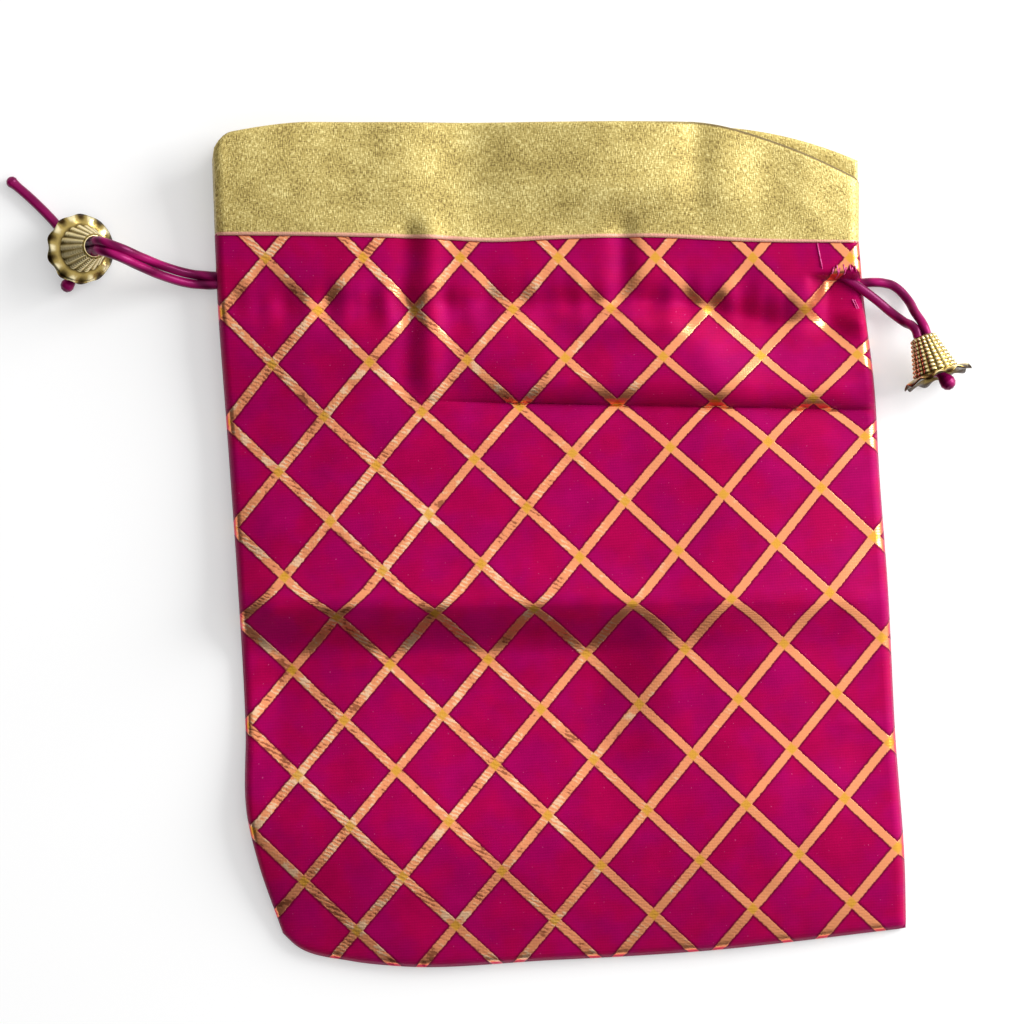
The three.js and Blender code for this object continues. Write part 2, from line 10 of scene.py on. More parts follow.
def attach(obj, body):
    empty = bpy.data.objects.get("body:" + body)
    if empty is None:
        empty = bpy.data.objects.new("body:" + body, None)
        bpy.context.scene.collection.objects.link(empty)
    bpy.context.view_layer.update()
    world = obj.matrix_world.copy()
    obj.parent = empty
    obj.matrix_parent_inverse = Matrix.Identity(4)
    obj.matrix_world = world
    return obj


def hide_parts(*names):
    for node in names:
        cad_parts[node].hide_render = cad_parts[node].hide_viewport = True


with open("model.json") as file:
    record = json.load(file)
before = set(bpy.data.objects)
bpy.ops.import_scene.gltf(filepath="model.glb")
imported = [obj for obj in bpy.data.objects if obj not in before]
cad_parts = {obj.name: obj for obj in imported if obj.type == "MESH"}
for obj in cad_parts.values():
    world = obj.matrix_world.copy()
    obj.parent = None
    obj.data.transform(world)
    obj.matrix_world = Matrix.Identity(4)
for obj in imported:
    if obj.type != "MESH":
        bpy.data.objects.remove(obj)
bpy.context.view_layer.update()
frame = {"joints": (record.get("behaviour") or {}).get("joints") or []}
scene = bpy.context.scene
scene.view_settings.view_transform = "Standard"

# View: from straight above, a metre up, and as wide as the picture. Sizes in this file are millimetres,
# which MM turns into Blender's metres.
MM = 0.001
VIEW_CENTRE = (-12.9, 9.0)
VIEW_WIDTH = 280.5
VIEW_LEVEL = 4
CAMERA_HEIGHT = 1000

camera = bpy.data.objects.new("camera", bpy.data.cameras.new("camera"))
scene.collection.objects.link(camera)
scene.camera = camera
camera.location = Vector((*VIEW_CENTRE, CAMERA_HEIGHT + VIEW_LEVEL)) * MM
camera.data.lens = camera.data.sensor_width * CAMERA_HEIGHT / VIEW_WIDTH

# Light: soft daylight from a tall window on the right, a little towards the mouth, in a room that is
# pale on that side and dim on the other.
KEY_PLACE = (960, 440, 410)
KEY_WIDTH = 600
KEY_HEIGHT = 780
KEY_POWER = 19
ROOM_AXIS = (0.70, 0.50, 0.50)
ROOM_DIM = 0.06
ROOM_BRIGHT = 1.0
DIM_UP_TO = -0.25
BRIGHT_FROM = 0.60


def new_node(tree, kind, settings=None, **values):
    """A shader node with its settings and its inputs, each a value or another node's output."""
    made = tree.nodes.new(kind)
    for key, value in (settings or {}).items():
        setattr(made, key, value)
    for key, value in values.items():
        by_number = key[0] == "i" and key[1:].isdigit()
        socket = made.inputs[int(key[1:])] if by_number else made.inputs[key.replace("_", " ")]
        if isinstance(value, bpy.types.NodeSocket):
            tree.links.new(value, socket)
        else:
            socket.default_value = value
    return made


def calc(tree, operation, *values):
    """A Math node on values or outputs."""
    inputs = {f"i{k}": value for k, value in enumerate(values)}
    return new_node(tree, "ShaderNodeMath", {"operation": operation}, **inputs).outputs[0]


def ease(tree, value, low, high, to_low=0.0, to_high=1.0):
    """A smooth step from to_low to to_high as value goes from low to high."""
    made = new_node(
        tree, "ShaderNodeMapRange", {"interpolation_type": "SMOOTHSTEP"},
        i0=value, i1=low, i2=high, i3=to_low, i4=to_high)
    return made.outputs[0]


key = bpy.data.objects.new("window_light", bpy.data.lights.new("window_light", "AREA"))
scene.collection.objects.link(key)
key.data.shape = "RECTANGLE"
key.data.size = KEY_WIDTH * MM
key.data.size_y = KEY_HEIGHT * MM
key.data.energy = KEY_POWER
key.location = Vector(KEY_PLACE) * MM
key.rotation_euler = (-key.location).to_track_quat("-Z", "Y").to_euler()

world = bpy.data.worlds.new("room")
scene.world = world
world.use_nodes = True
room = world.node_tree
room.nodes.clear()
direction = new_node(room, "ShaderNodeTexCoord").outputs["Generated"]
towards = new_node(room, "ShaderNodeVectorMath", {"operation": "DOT_PRODUCT"}, i0=direction, i1=ROOM_AXIS)
room_level = ease(room, towards.outputs["Value"], DIM_UP_TO, BRIGHT_FROM, ROOM_DIM, ROOM_BRIGHT)
background = new_node(room, "ShaderNodeBackground", i0=(1, 1, 1, 1), i1=room_level)
room_out = new_node(room, "ShaderNodeOutputWorld")
room.links.new(background.outputs[0], room_out.inputs[0])

# Table: white and dull, so that it takes the bag's soft shadow. To the camera and in reflections it
# glows a little, which makes it white where no shadow falls.
TABLE_SIZE = 3000
TABLE_LEVEL = -0.3
TABLE_COLOUR = (0.68, 0.68, 0.68, 1)
TABLE_GLOW = 0.32

table_mesh = bmesh.new()
bmesh.ops.create_grid(table_mesh, x_segments=1, y_segments=1, size=TABLE_SIZE / 2 * MM)
table = bpy.data.objects.new("table", bpy.data.meshes.new("table"))
table_mesh.to_mesh(table.data)
table_mesh.free()
table.location.z = TABLE_LEVEL * MM
scene.collection.objects.link(table)
white = bpy.data.materials.new("white_table")
white.use_nodes = True
paint = white.node_tree
paint.nodes.clear()
dull = new_node(paint, "ShaderNodeBsdfDiffuse", i0=TABLE_COLOUR)
path = new_node(paint, "ShaderNodeLightPath")
mirrored = calc(paint, "MAXIMUM", path.outputs["Is Glossy Ray"], path.outputs["Is Transmission Ray"])
table_seen = calc(paint, "MAXIMUM", path.outputs["Is Camera Ray"], mirrored)
glow_level = calc(paint, "MULTIPLY", table_seen, TABLE_GLOW)
glow = new_node(paint, "ShaderNodeEmission", i0=(1, 1, 1, 1), i1=glow_level)
both = new_node(paint, "ShaderNodeAddShader", i0=dull.outputs[0], i1=glow.outputs[0])
table_out = new_node(paint, "ShaderNodeOutputMaterial")
paint.links.new(both.outputs[0], table_out.inputs[0])
table.data.materials.append(white)

# Back of the pouch: plain woven cloth with a printed foil lattice, lying flat on the table. The outline
# is drawn out at the bottom right, and the left bottom corner is folded under.
SEAM_LINE = [
    (-94.2, 84.9), (-63, 84.4), (-35, 83.6), (-19, 82.8), (0, 83.6), (22, 84.1), (55, 82.8), (82, 82.7),
]
LEFT_EDGE = [
    (-94.2, 84.9), (-93.4, 67), (-91, 34), (-87.9, -10),
    (-85.7, -50), (-85.2, -75), (-82.5, -86.3), (-75.5, -106.5),
]
RIGHT_EDGE = [
    (82, 82.7), (83.4, 67), (86.2, 44), (87.6, 20), (90, -12), (92, -52), (94.6, -88), (95, -105),
]
BOTTOM_EDGE = [
    (-75.5, -106.5), (-72, -109.8), (-57, -114), (-44, -115.4), (-3, -113.8), (40, -111.2), (95, -105),
]
CLOTH = 0.45
BACK_LEVEL = 0.05
BACK_GRID = (60, 70)


def new_material(name):
    """A material with one Principled shader, its tree and the shader."""
    material = bpy.data.materials.new(name)
    material.use_nodes = True
    tree = material.node_tree
    return material, tree, tree.nodes["Principled BSDF"]


def new_piece(name, data, material, body, node):
    """An object at the origin that rides on a body, takes a finish and stands for a CAD node."""
    piece = bpy.data.objects.new(name, data)
    scene.collection.objects.link(piece)
    data.materials.append(material)
    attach(piece, body)
    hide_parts(node)
    return piece


def mix_colour(tree, share, first, second):
    made = new_node(tree, "ShaderNodeMix", {"data_type": "RGBA"}, i0=share, i6=first, i7=second)
    return made.outputs[2]


def noise_at(tree, place, scale, detail=2.0, roughness=0.5):
    made = new_node(tree, "ShaderNodeTexNoise", Vector=place, Scale=scale, Detail=detail, Roughness=roughness)
    return made.outputs[0]


def smooth_line(points, shares):
    """Places along a smooth line through the points, at shares of its length."""
    given = np.array(points, float)
    chord = np.concatenate([[0], np.cumsum(np.linalg.norm(np.diff(given, axis=0), axis=1))])
    slope = np.gradient(given, chord, axis=0)
    fine = np.linspace(0, chord[-1], 400)
    k = np.clip(np.searchsorted(chord, fine, side="right") - 1, 0, len(chord) - 2)
    span = chord[k + 1] - chord[k]
    t = ((fine - chord[k]) / span)[:, None]
    span = span[:, None]
    curve = (
        given[k] * (2 * t**3 - 3 * t**2 + 1) + slope[k] * span * (t**3 - 2 * t**2 + t)
        + given[k + 1] * (3 * t**2 - 2 * t**3) + slope[k + 1] * span * (t**3 - t**2))
    along = np.concatenate([[0], np.cumsum(np.linalg.norm(np.diff(curve, axis=0), axis=1))])
    wanted = shares * along[-1]
    return np.stack([np.interp(wanted, along, curve[:, axis]) for axis in range(curve.shape[1])], -1)


def pouch_place(across, down):
    """Where a point of the pouch lies on the table, from its shares across and down."""
    top = smooth_line(SEAM_LINE, across)
    bottom = smooth_line(BOTTOM_EDGE, across)
    left = smooth_line(LEFT_EDGE, down)
    right = smooth_line(RIGHT_EDGE, down)
    a, d = across[:, None], down[:, None]
    corners = (
        np.array(SEAM_LINE[0]) * (1 - a) * (1 - d) + np.array(SEAM_LINE[-1]) * a * (1 - d)
        + np.array(BOTTOM_EDGE[0]) * (1 - a) * d + np.array(BOTTOM_EDGE[-1]) * a * d)
    return top * (1 - d) + bottom * d + left * (1 - a) + right * a - corners


def smooth(value, low, high):
    """A smooth step from 0 to 1 as value goes from low to high."""
    t = np.clip((value - low) / (high - low), 0, 1)
    return t * t * (3 - 2 * t)


# The print is a diamond lattice of foil lines. It slants a little on the cut cloth, and the folds
# across the front take up more of the cloth on one side than on the other.
PRINT_TOP = 78.1
PRINT_LEFT = -79.9
ROW_PITCH = 28.85
COLUMN_PITCH = 26.5
PRINT_LEAN = 0.059
PRINT_SPREAD = 0.003
FOLD_LEFT = -81
FOLD_WIDTH = 160
UPPER_FOLD_Y = 39.7
UPPER_FOLD_TAKES = (-0.8, 2.7)
UPPER_FOLD_REACH = 9.6
LOWER_FOLD_Y = -16.4
LOWER_FOLD_TAKES = (3.3, 1.3)
LOWER_FOLD_REACH = 4.4
GATHERS_TAKE = 7.5
GATHERS_RUN = 66


def taken_up(share, y, takes, fold_y, reach):
    """Millimetres of cloth that a fold has taken up, from the share across and the height on the bag."""
    left, right = takes
    return (left + (right - left) * share) * smooth(fold_y + reach - y, 0, 2 * reach)


def print_place(x, y):
    """The lattice column and row, in pitches, at a place on the front of the pouch."""
    share = (x - FOLD_LEFT) / FOLD_WIDTH
    upper = taken_up(share, y, UPPER_FOLD_TAKES, UPPER_FOLD_Y, UPPER_FOLD_REACH)
    lower = taken_up(share, y, LOWER_FOLD_TAKES, LOWER_FOLD_Y, LOWER_FOLD_REACH)
    gathered = GATHERS_TAKE * share * smooth(PRINT_TOP - y, 0, GATHERS_RUN)
    down = PRINT_TOP - y + upper + lower + gathered
    column = (x - PRINT_LEFT - PRINT_LEAN * down) / (COLUMN_PITCH + PRINT_SPREAD * down)
    return np.stack([column, down / ROW_PITCH], -1)


# The foil's edges are nicked. Its colour is painted with light and shade: brown shade, cream glints and
# fine dark ticks, most of all on the left, which lies away from the light. The dye of the cloth is uneven,
# with ribs from the weave and specks of fluff. A pattern is given as its scale, detail and roughness.
FOIL_WIDTH = 2.2
FOIL = (0.98, 0.365, 0.165, 1)
FOIL_TAN = (0.96, 0.345, 0.165, 1)
# The next two colours are the foil's painted shade and its painted glints.
FOIL_SHADE_BROWN = (0.42, 0.13, 0.06, 1)
FOIL_GLINT_CREAM = (1.0, 0.62, 0.38, 1)
FOIL_CROSSING = (0.80, 0.42, 0.03, 1)
FOIL_OUTLINE = (0.10, 0.0, 0.012, 1)
FOIL_METAL = 0.92
FOIL_ROUGHNESS = 0.29
FOIL_TONE = 0.52
SHADE_TO_TAN = (0.30, 0.40)
TAN_TO_FOIL = (0.43, 0.52)
FOIL_TO_GLINT = (0.57, 0.69)
FOIL_RELIEF = 0.4
# The foil's painted glints and shade are strongest on the left and fade towards the right.
GLINT_AND_SHADE_COLUMNS = (0.0, 5.5)
GLINT_AND_SHADE_SHARES = (1.0, 0.22)
NICKS = (0.9, 3.0, 0.7)
NICK_DEPTH = 0.7
SHINE = (0.17, 3.0, 0.6)
SHINE_CONTRAST = 1.6
HATCH_PITCH = 1.1
HATCH_TILT = math.radians(28)
HATCH_WAVER = 8.0
HATCH_PATCHES = (0.05, 2.0, 0.5)
HATCH_SHARES = (0.03, 0.14)
LATTICE_STEP = ROW_PITCH * COLUMN_PITCH / math.hypot(ROW_PITCH, COLUMN_PITCH)
DEEP_PLUM = (0.19, 0.0004, 0.050, 1)
DEEP_RED = (0.22, 0.0004, 0.032, 1)
CLEAR_PLUM = (0.47, 0.0010, 0.112, 1)
CLEAR_RED = (0.52, 0.0010, 0.074, 1)
CLOTH_ROUGHNESS = 0.58
DYE = (0.08, 3.0, 0.5)
MOTTLE = (0.11, 4.0, 0.65)
MOTTLE_SHARE = 0.7
WEFT_SCALE = 0.40
WARP_SCALE = 0.46
WARP_SHARE = 0.3
WEAVE_SHARE = 0.15
WEAVE_RELIEF = 0.1
FLUFF = (1.3, 1.0, 0.5)
FLUFF_PINK = (0.80, 0.12, 0.36, 1)

foil_cloth, foil_tree, foil_shader = new_material("foil_cloth")
print_map = new_node(foil_tree, "ShaderNodeUVMap", {"uv_map": "print"}).outputs[0]
lattice = new_node(foil_tree, "ShaderNodeSeparateXYZ", i0=print_map)
column_at = lattice.outputs[0]
row_at = lattice.outputs[1]
cloth_place = new_node(
    foil_tree, "ShaderNodeVectorMath", {"operation": "MULTIPLY"},
    i0=print_map, i1=(COLUMN_PITCH, ROW_PITCH, 0)).outputs[0]
nicks = noise_at(foil_tree, cloth_place, *NICKS)
nick_depth = calc(foil_tree, "MULTIPLY", calc(foil_tree, "SUBTRACT", nicks, 0.5), NICK_DEPTH)


def off_line(value):
    """Millimetres from the middle of the nearest foil line, whose edges are nicked."""
    past_line = calc(foil_tree, "FRACT", calc(foil_tree, "ADD", value, 100.5))
    nearest = calc(foil_tree, "ABSOLUTE", calc(foil_tree, "SUBTRACT", past_line, 0.5))
    return calc(foil_tree, "ADD", calc(foil_tree, "MULTIPLY", nearest, LATTICE_STEP), nick_depth)


def ribs(direction, scale):
    """The ribs of the weave in one direction."""
    made = new_node(
        foil_tree, "ShaderNodeTexWave", {"bands_direction": direction},
        Vector=cloth_place, Scale=scale, Distortion=0.4, Detail=2.0, Detail_Scale=2.0)
    return made.outputs[1]


off_rising = off_line(calc(foil_tree, "ADD", column_at, row_at))
off_falling = off_line(calc(foil_tree, "SUBTRACT", column_at, row_at))
off_any = calc(foil_tree, "MINIMUM", off_rising, off_falling)
off_both = calc(foil_tree, "MAXIMUM", off_rising, off_falling)
foil_half = FOIL_WIDTH / 2
foil_share = ease(foil_tree, off_any, foil_half - 0.15, foil_half + 0.15, 1.0, 0.0)
outline_share = ease(foil_tree, off_any, foil_half + 0.1, foil_half + 0.9, 0.9, 0.0)
crossing_share = ease(foil_tree, off_both, foil_half - 0.3, foil_half + 0.4, 0.8, 0.0)

hatch_axis = (-math.sin(HATCH_TILT), math.cos(HATCH_TILT), 0)
hatch_at = new_node(
    foil_tree, "ShaderNodeVectorMath", {"operation": "DOT_PRODUCT"},
    i0=cloth_place, i1=hatch_axis).outputs["Value"]
hatch_even = calc(foil_tree, "MULTIPLY", hatch_at, 2 * math.pi / HATCH_PITCH)
hatch_turn = calc(foil_tree, "ADD", hatch_even, calc(foil_tree, "MULTIPLY", nicks, HATCH_WAVER))
hatch = calc(foil_tree, "SINE", hatch_turn)
patches = noise_at(foil_tree, cloth_place, *HATCH_PATCHES)
# Painted dark ticks on the foil, where light would catch its emboss.
painted_ticks = calc(foil_tree, "MULTIPLY", hatch, ease(foil_tree, patches, 0.36, 0.62, *HATCH_SHARES))
# Painted glints and shade on the foil, strongest on the left. They also raise the foil's relief.
shine = noise_at(foil_tree, cloth_place, *SHINE)
glints_and_shade_noise = calc(foil_tree, "MULTIPLY", calc(foil_tree, "SUBTRACT", shine, 0.5), SHINE_CONTRAST)
glint_and_shade_share = ease(foil_tree, column_at, *GLINT_AND_SHADE_COLUMNS, *GLINT_AND_SHADE_SHARES)
foil_glints_and_shade = calc(foil_tree, "MULTIPLY", calc(foil_tree, "ADD", glints_and_shade_noise, painted_ticks), glint_and_shade_share)
foil_tone = calc(foil_tree, "ADD", FOIL_TONE, foil_glints_and_shade)
# The foil's colour runs from painted brown shade through tan and orange to painted cream glints.
foil_shaded = mix_colour(foil_tree, ease(foil_tree, foil_tone, *SHADE_TO_TAN), FOIL_SHADE_BROWN, FOIL_TAN)
foil_mid = mix_colour(foil_tree, ease(foil_tree, foil_tone, *TAN_TO_FOIL), foil_shaded, FOIL)
foil_glinting = mix_colour(foil_tree, ease(foil_tree, foil_tone, *FOIL_TO_GLINT), foil_mid, FOIL_GLINT_CREAM)
foil_line = mix_colour(foil_tree, crossing_share, foil_glinting, FOIL_CROSSING)

warp = calc(foil_tree, "MULTIPLY", ribs("X", WARP_SCALE), WARP_SHARE)
weave = calc(foil_tree, "ADD", ribs("Y", WEFT_SCALE), warp)
mottle = calc(foil_tree, "MULTIPLY", noise_at(foil_tree, cloth_place, *MOTTLE), MOTTLE_SHARE)
shade_share = calc(foil_tree, "ADD", calc(foil_tree, "MULTIPLY", weave, WEAVE_SHARE), mottle)
dye = ease(foil_tree, noise_at(foil_tree, cloth_place, *DYE), 0.35, 0.65)
deep = mix_colour(foil_tree, dye, DEEP_PLUM, DEEP_RED)
clear = mix_colour(foil_tree, dye, CLEAR_PLUM, CLEAR_RED)
dyed = mix_colour(foil_tree, shade_share, deep, clear)
fluff = ease(foil_tree, noise_at(foil_tree, cloth_place, *FLUFF), 0.74, 0.80, 0.0, 0.35)
cloth_colour = mix_colour(foil_tree, fluff, dyed, FLUFF_PINK)
outlined = mix_colour(foil_tree, outline_share, cloth_colour, FOIL_OUTLINE)
foil_colour = mix_colour(foil_tree, foil_share, outlined, foil_line)
foil_metal = calc(foil_tree, "MULTIPLY", foil_share, FOIL_METAL)
foil_gloss = ease(foil_tree, foil_share, 0.0, 1.0, CLOTH_ROUGHNESS, FOIL_ROUGHNESS)
foil_height = calc(foil_tree, "MULTIPLY", foil_share, calc(foil_tree, "ADD", FOIL_RELIEF, foil_glints_and_shade))
cloth_height = calc(foil_tree, "ADD", calc(foil_tree, "MULTIPLY", weave, WEAVE_RELIEF), foil_height)
foil_bump = new_node(foil_tree, "ShaderNodeBump", Strength=0.5, Distance=0.25 * MM, Height=cloth_height)
foil_tree.links.new(foil_colour, foil_shader.inputs["Base Color"])
foil_tree.links.new(foil_metal, foil_shader.inputs["Metallic"])
foil_tree.links.new(foil_gloss, foil_shader.inputs["Roughness"])
foil_tree.links.new(foil_bump.outputs[0], foil_shader.inputs["Normal"])
foil_shader.inputs["Specular IOR Level"].default_value = 0.4
foil_shader.inputs["Specular Tint"].default_value = (1.0, 0.02, 0.45, 1)
foil_shader.inputs["Sheen Weight"].default_value = 0.06
foil_shader.inputs["Sheen Roughness"].default_value = 0.4
foil_shader.inputs["Sheen Tint"].default_value = (1.0, 0.1, 0.5, 1)


def cloth_grid(columns, rows):
    """A flat grid of cloth with a map for its print, and the shares across and down of its points."""
    grid = bmesh.new()
    bmesh.ops.create_grid(grid, x_segments=columns, y_segments=rows, size=0.5)
    grid.loops.layers.uv.new("print")
    mesh = bpy.data.meshes.new("cloth")
    for face in grid.faces:
        face.smooth = True
    grid.to_mesh(mesh)
    grid.free()
    flat = np.empty(len(mesh.vertices) * 3)
    mesh.vertices.foreach_get("co", flat)
    flat = flat.reshape(-1, 3)
    return mesh, np.clip(flat[:, 0] + 0.5, 0, 1), np.clip(0.5 - flat[:, 1], 0, 1)


def lay_out(mesh, places, print_map_of):
    """Moves a cloth grid's points to their places in millimetres, and writes its print map."""
    mesh.vertices.foreach_set("co", (places * MM).ravel())
    corners = np.empty(len(mesh.loops), int)
    mesh.loops.foreach_get("vertex_index", corners)
    mesh.uv_layers["print"].data.foreach_set("uv", print_map_of[corners].ravel())
    mesh.update()


def thicken(piece, thickness):
    wall = piece.modifiers.new("thickness", "SOLIDIFY")
    wall.thickness = thickness * MM
    wall.offset = -1


back_mesh, back_across, back_down = cloth_grid(*BACK_GRID)
back_xy = pouch_place(back_across, back_down)
back_z = np.full(len(back_xy), BACK_LEVEL)
lay_out(back_mesh, np.column_stack([back_xy, back_z]), print_place(back_xy[:, 0], back_xy[:, 1]))
back_mesh.flip_normals()
back_panel = new_piece("back_panel_cloth", back_mesh, foil_cloth, "bag", "back_panel")
thicken(back_panel, CLOTH)

# Front of the pouch: the same cloth, a little puffed over what air is in the empty bag. It keeps two
# creases from being folded in its packet, and is gathered where the drawstrings run.
WIDTH = 177
LENGTH = 200
FRONT_GRID = (190, 230)
ROW_CROWDS = [(2.5, 0.22, 0.025), (1.5, 0.5, 0.04), (1.0, 0.08, 0.05)]
REST_LEVEL = 0.6
EDGE_TURN = 2
EDGE_HEIGHT = 5.5
EDGE_ROUND = 50
NECK_EDGE_LIFT = 2.5
RIGHT_EDGE_LIFT = 2.0
RIGHT_LIFT_FROM = (90, 150)
EDGE_LIFT_ENDS = (10, 60)
BOTTOM_ROUND = 45
HEM_SHARE = 0.25
NECK_PUFF = 10.8
BODY_PUFF = 9.2
NECK_ENDS = (24, 64)


def gauss(distance, spread):
    return np.exp(-((distance / spread) ** 2))


def ridge(place, height, middle, spread):
    """A rounded ridge, or with a height below 0 a valley, across a line of places."""
    return height * gauss(place - middle, spread)


def turned_edge(inside):
    """How high the cloth has risen at its turned edge, as a share, at millimetres inside it."""
    return np.sqrt(1 - (1 - np.clip(inside / EDGE_TURN, 0, 1)) ** 2)


def swelling(inside, width):
    """A rise from 0 to 1 over a width, which flattens out at its end."""
    return np.sin(np.pi / 2 * np.clip(inside / width, 0, 1))


def puff(across, down):
    """Height of the front cloth over the table without its folds, from millimetres across and down."""
    inside = np.minimum(across, WIDTH - across)
    full = NECK_PUFF + (BODY_PUFF - NECK_PUFF) * smooth(down, *NECK_ENDS)
    edge_lift = NECK_EDGE_LIFT + RIGHT_EDGE_LIFT * smooth(across, *RIGHT_LIFT_FROM)
    edge_height = EDGE_HEIGHT + edge_lift * (1 - smooth(down, *EDGE_LIFT_ENDS))
    height = edge_height * turned_edge(inside) + (full - edge_height) * swelling(inside, EDGE_ROUND)
    hem = HEM_SHARE * turned_edge(LENGTH - down)
    return REST_LEVEL + height * (hem + (1 - HEM_SHARE) * swelling(LENGTH - down, BOTTOM_ROUND))


# The two creases run across the front, each given by a place on it and its slope. The cloth above the
# upper one rolls over it, and below the lower one it falls away and comes slowly back up.
UPPER_CREASE = (-21.6, UPPER_FOLD_Y - 0.5, -0.018)
UPPER_FROM = (-40, -8)
UPPER_DROP = 2.2
UPPER_CREST = 2.6
UPPER_ROLL = 6.5
UPPER_SWELL = 15
UPPER_TUCK = 4.0
LOWER_CREASE = (-85, LOWER_FOLD_Y - 0.8, 0.013)
LOWER_FADES = (8, 32)
LOWER_CREST = 4.5
LOWER_CREST_FADE = 0.3
LOWER_SWELL = 18
LOWER_FALL = 9.8
LOWER_FALL_FADE = 0.6
LOWER_FALL_RUN = (-3, 14)
LOWER_RETURN = 5.3
LOWER_RETURN_FADE = 0.855
LOWER_RETURN_RUN = (15, 70)


def above_crease(x, y, crease):
    crease_x, crease_y, slope = crease
    return y - (crease_y + slope * (x - crease_x))


def upper_fold(x, y):
    """Height that the crease under the gathers adds."""
    above = above_crease(x, y, UPPER_CREASE)
    roll = np.sqrt(1 - (1 - np.clip(above / UPPER_ROLL, 0, 1)) ** 2)
    crest = UPPER_DROP + ridge(above, UPPER_CREST, UPPER_ROLL, UPPER_SWELL)
    tucked = -UPPER_DROP * np.exp(above / UPPER_TUCK)
    return smooth(x, *UPPER_FROM) * np.where(above > 0, crest * roll - UPPER_DROP, tucked)


def lower_fold(x, y):
    """Height that the crease across the middle adds, which is weaker on the right."""
    above = above_crease(x, y, LOWER_CREASE)
    fading = smooth(x, *LOWER_FADES)
    crest = LOWER_CREST * (1 - LOWER_CREST_FADE * fading) * np.exp(-np.clip(above, 0, None) / LOWER_SWELL)
    fall = LOWER_FALL * (1 - LOWER_FALL_FADE * fading) * smooth(-above, *LOWER_FALL_RUN)
    back_up = LOWER_RETURN * (1 - LOWER_RETURN_FADE * fading) * smooth(-above, *LOWER_RETURN_RUN)
    return crest - fall + back_up


# The drawstrings' channel is stitched through and gathers the cloth. Ridges and valleys are given by
# their height, middle and spread, and wrinkles by their height, two lengths and a layer of the noise.
PLEAT = (1.5, -35.3, 3.8)
PLEAT_FOOT = (-1.0, -41.3, 3.4)
PLEAT_FROM = (36, 48)
VALLEY = (-1.6, 17.3, 3.2)
VALLEY_FROM = (62, 72)
SWELL_ACROSS = (1.5, 22, 17)
SWELL_UP = (1.0, 60.5, 4.5)
DIMPLE_ACROSS = (-1.0, -3, 6)
DIMPLE_UP = (1.0, 60, 4)
STITCHES_Y = 65.6
STITCH_SPREAD = 4.0
STITCH_DEPTH = 0.9
STITCH_PULL = 1.7
STITCH_PULL_FROM = (-60, 30)
HOLLOW_FROM = (28, 62)
HOLLOW_SINKS = 5.6
HOLLOW_DEPTH = 1.9
HOLLOW_ABOVE = 1.2
HOLLOW_BELOW = 14
SIDE_CREASE = 0.9
SIDE_CREASE_Y = -48.5
SIDE_CREASE_FROM = (70, 80)
SIDE_CREASE_SPREAD = 4
PUCKERED = (1.0, 66, 6.5)
PUCKER = (1.5, 5.5, 16, 3.0)
SLACK = (0.6, 34, 22, 9.0)
CRINKLE = (0.22, 11, 9, 21.0)


def gathers(x, y):
    """The pleat under the band, the stitched hollow of the channel, and the swells beside it."""
    pleat = (ridge(x, *PLEAT) + ridge(x, *PLEAT_FOOT)) * smooth(y, *PLEAT_FROM)
    valley = ridge(x, *VALLEY) * smooth(y, *VALLEY_FROM)
    swell = ridge(x, *SWELL_ACROSS) * ridge(y, *SWELL_UP)
    dimple = ridge(x, *DIMPLE_ACROSS) * ridge(y, *DIMPLE_UP)
    hollow = smooth(x, *HOLLOW_FROM)
    from_stitches = y - STITCHES_Y + HOLLOW_SINKS * hollow
    stitch_spread = STITCH_SPREAD + np.where(from_stitches > 0, HOLLOW_ABOVE, HOLLOW_BELOW) * hollow
    stitch_depth = STITCH_DEPTH + STITCH_PULL * smooth(x, *STITCH_PULL_FROM) + HOLLOW_DEPTH * hollow
    stitched = -stitch_depth * gauss(from_stitches, stitch_spread)
    from_side_crease = np.abs(y - SIDE_CREASE_Y)
    side_crease = SIDE_CREASE * smooth(x, *SIDE_CREASE_FROM) * np.exp(-from_side_crease / SIDE_CREASE_SPREAD)
    return pleat + valley + swell + dimple + stitched + side_crease


def wrinkle(x, y, height, length_across, length_up, layer):
    return height * noise.noise(Vector((x / length_across, y / length_up, layer)))


def wrinkles(x, y):
    """Small puckers along the channel's stitching and the slack of the cloth."""
    puckered = ridge(y, *PUCKERED)
    found = np.empty(len(x))
    for k in range(len(x)):
        slack = wrinkle(x[k], y[k], *SLACK) + wrinkle(x[k], y[k], *CRINKLE)
        found[k] = puckered[k] * wrinkle(x[k], y[k], *PUCKER) + slack
    return found


# Where the drawstrings come out at the right, the cloth is pulled down to a hole. Towards the turned
# edges all folds grow shallower.
HOLE_LEFT = (66.5, 74)
HOLE_BELOW = (54, 63)
HOLE_ABOVE = (72.5, 74.5)
HOLE_FLOOR = 3.9
HOLE_SIDE = 5.0
HOLE_SIDE_BELOW = (60, 65.5)
HOLE_SIDE_FROM = (74, 83)
EDGE_FOLD_SHARE = 0.6
EDGE_FOLD_RUN = 12

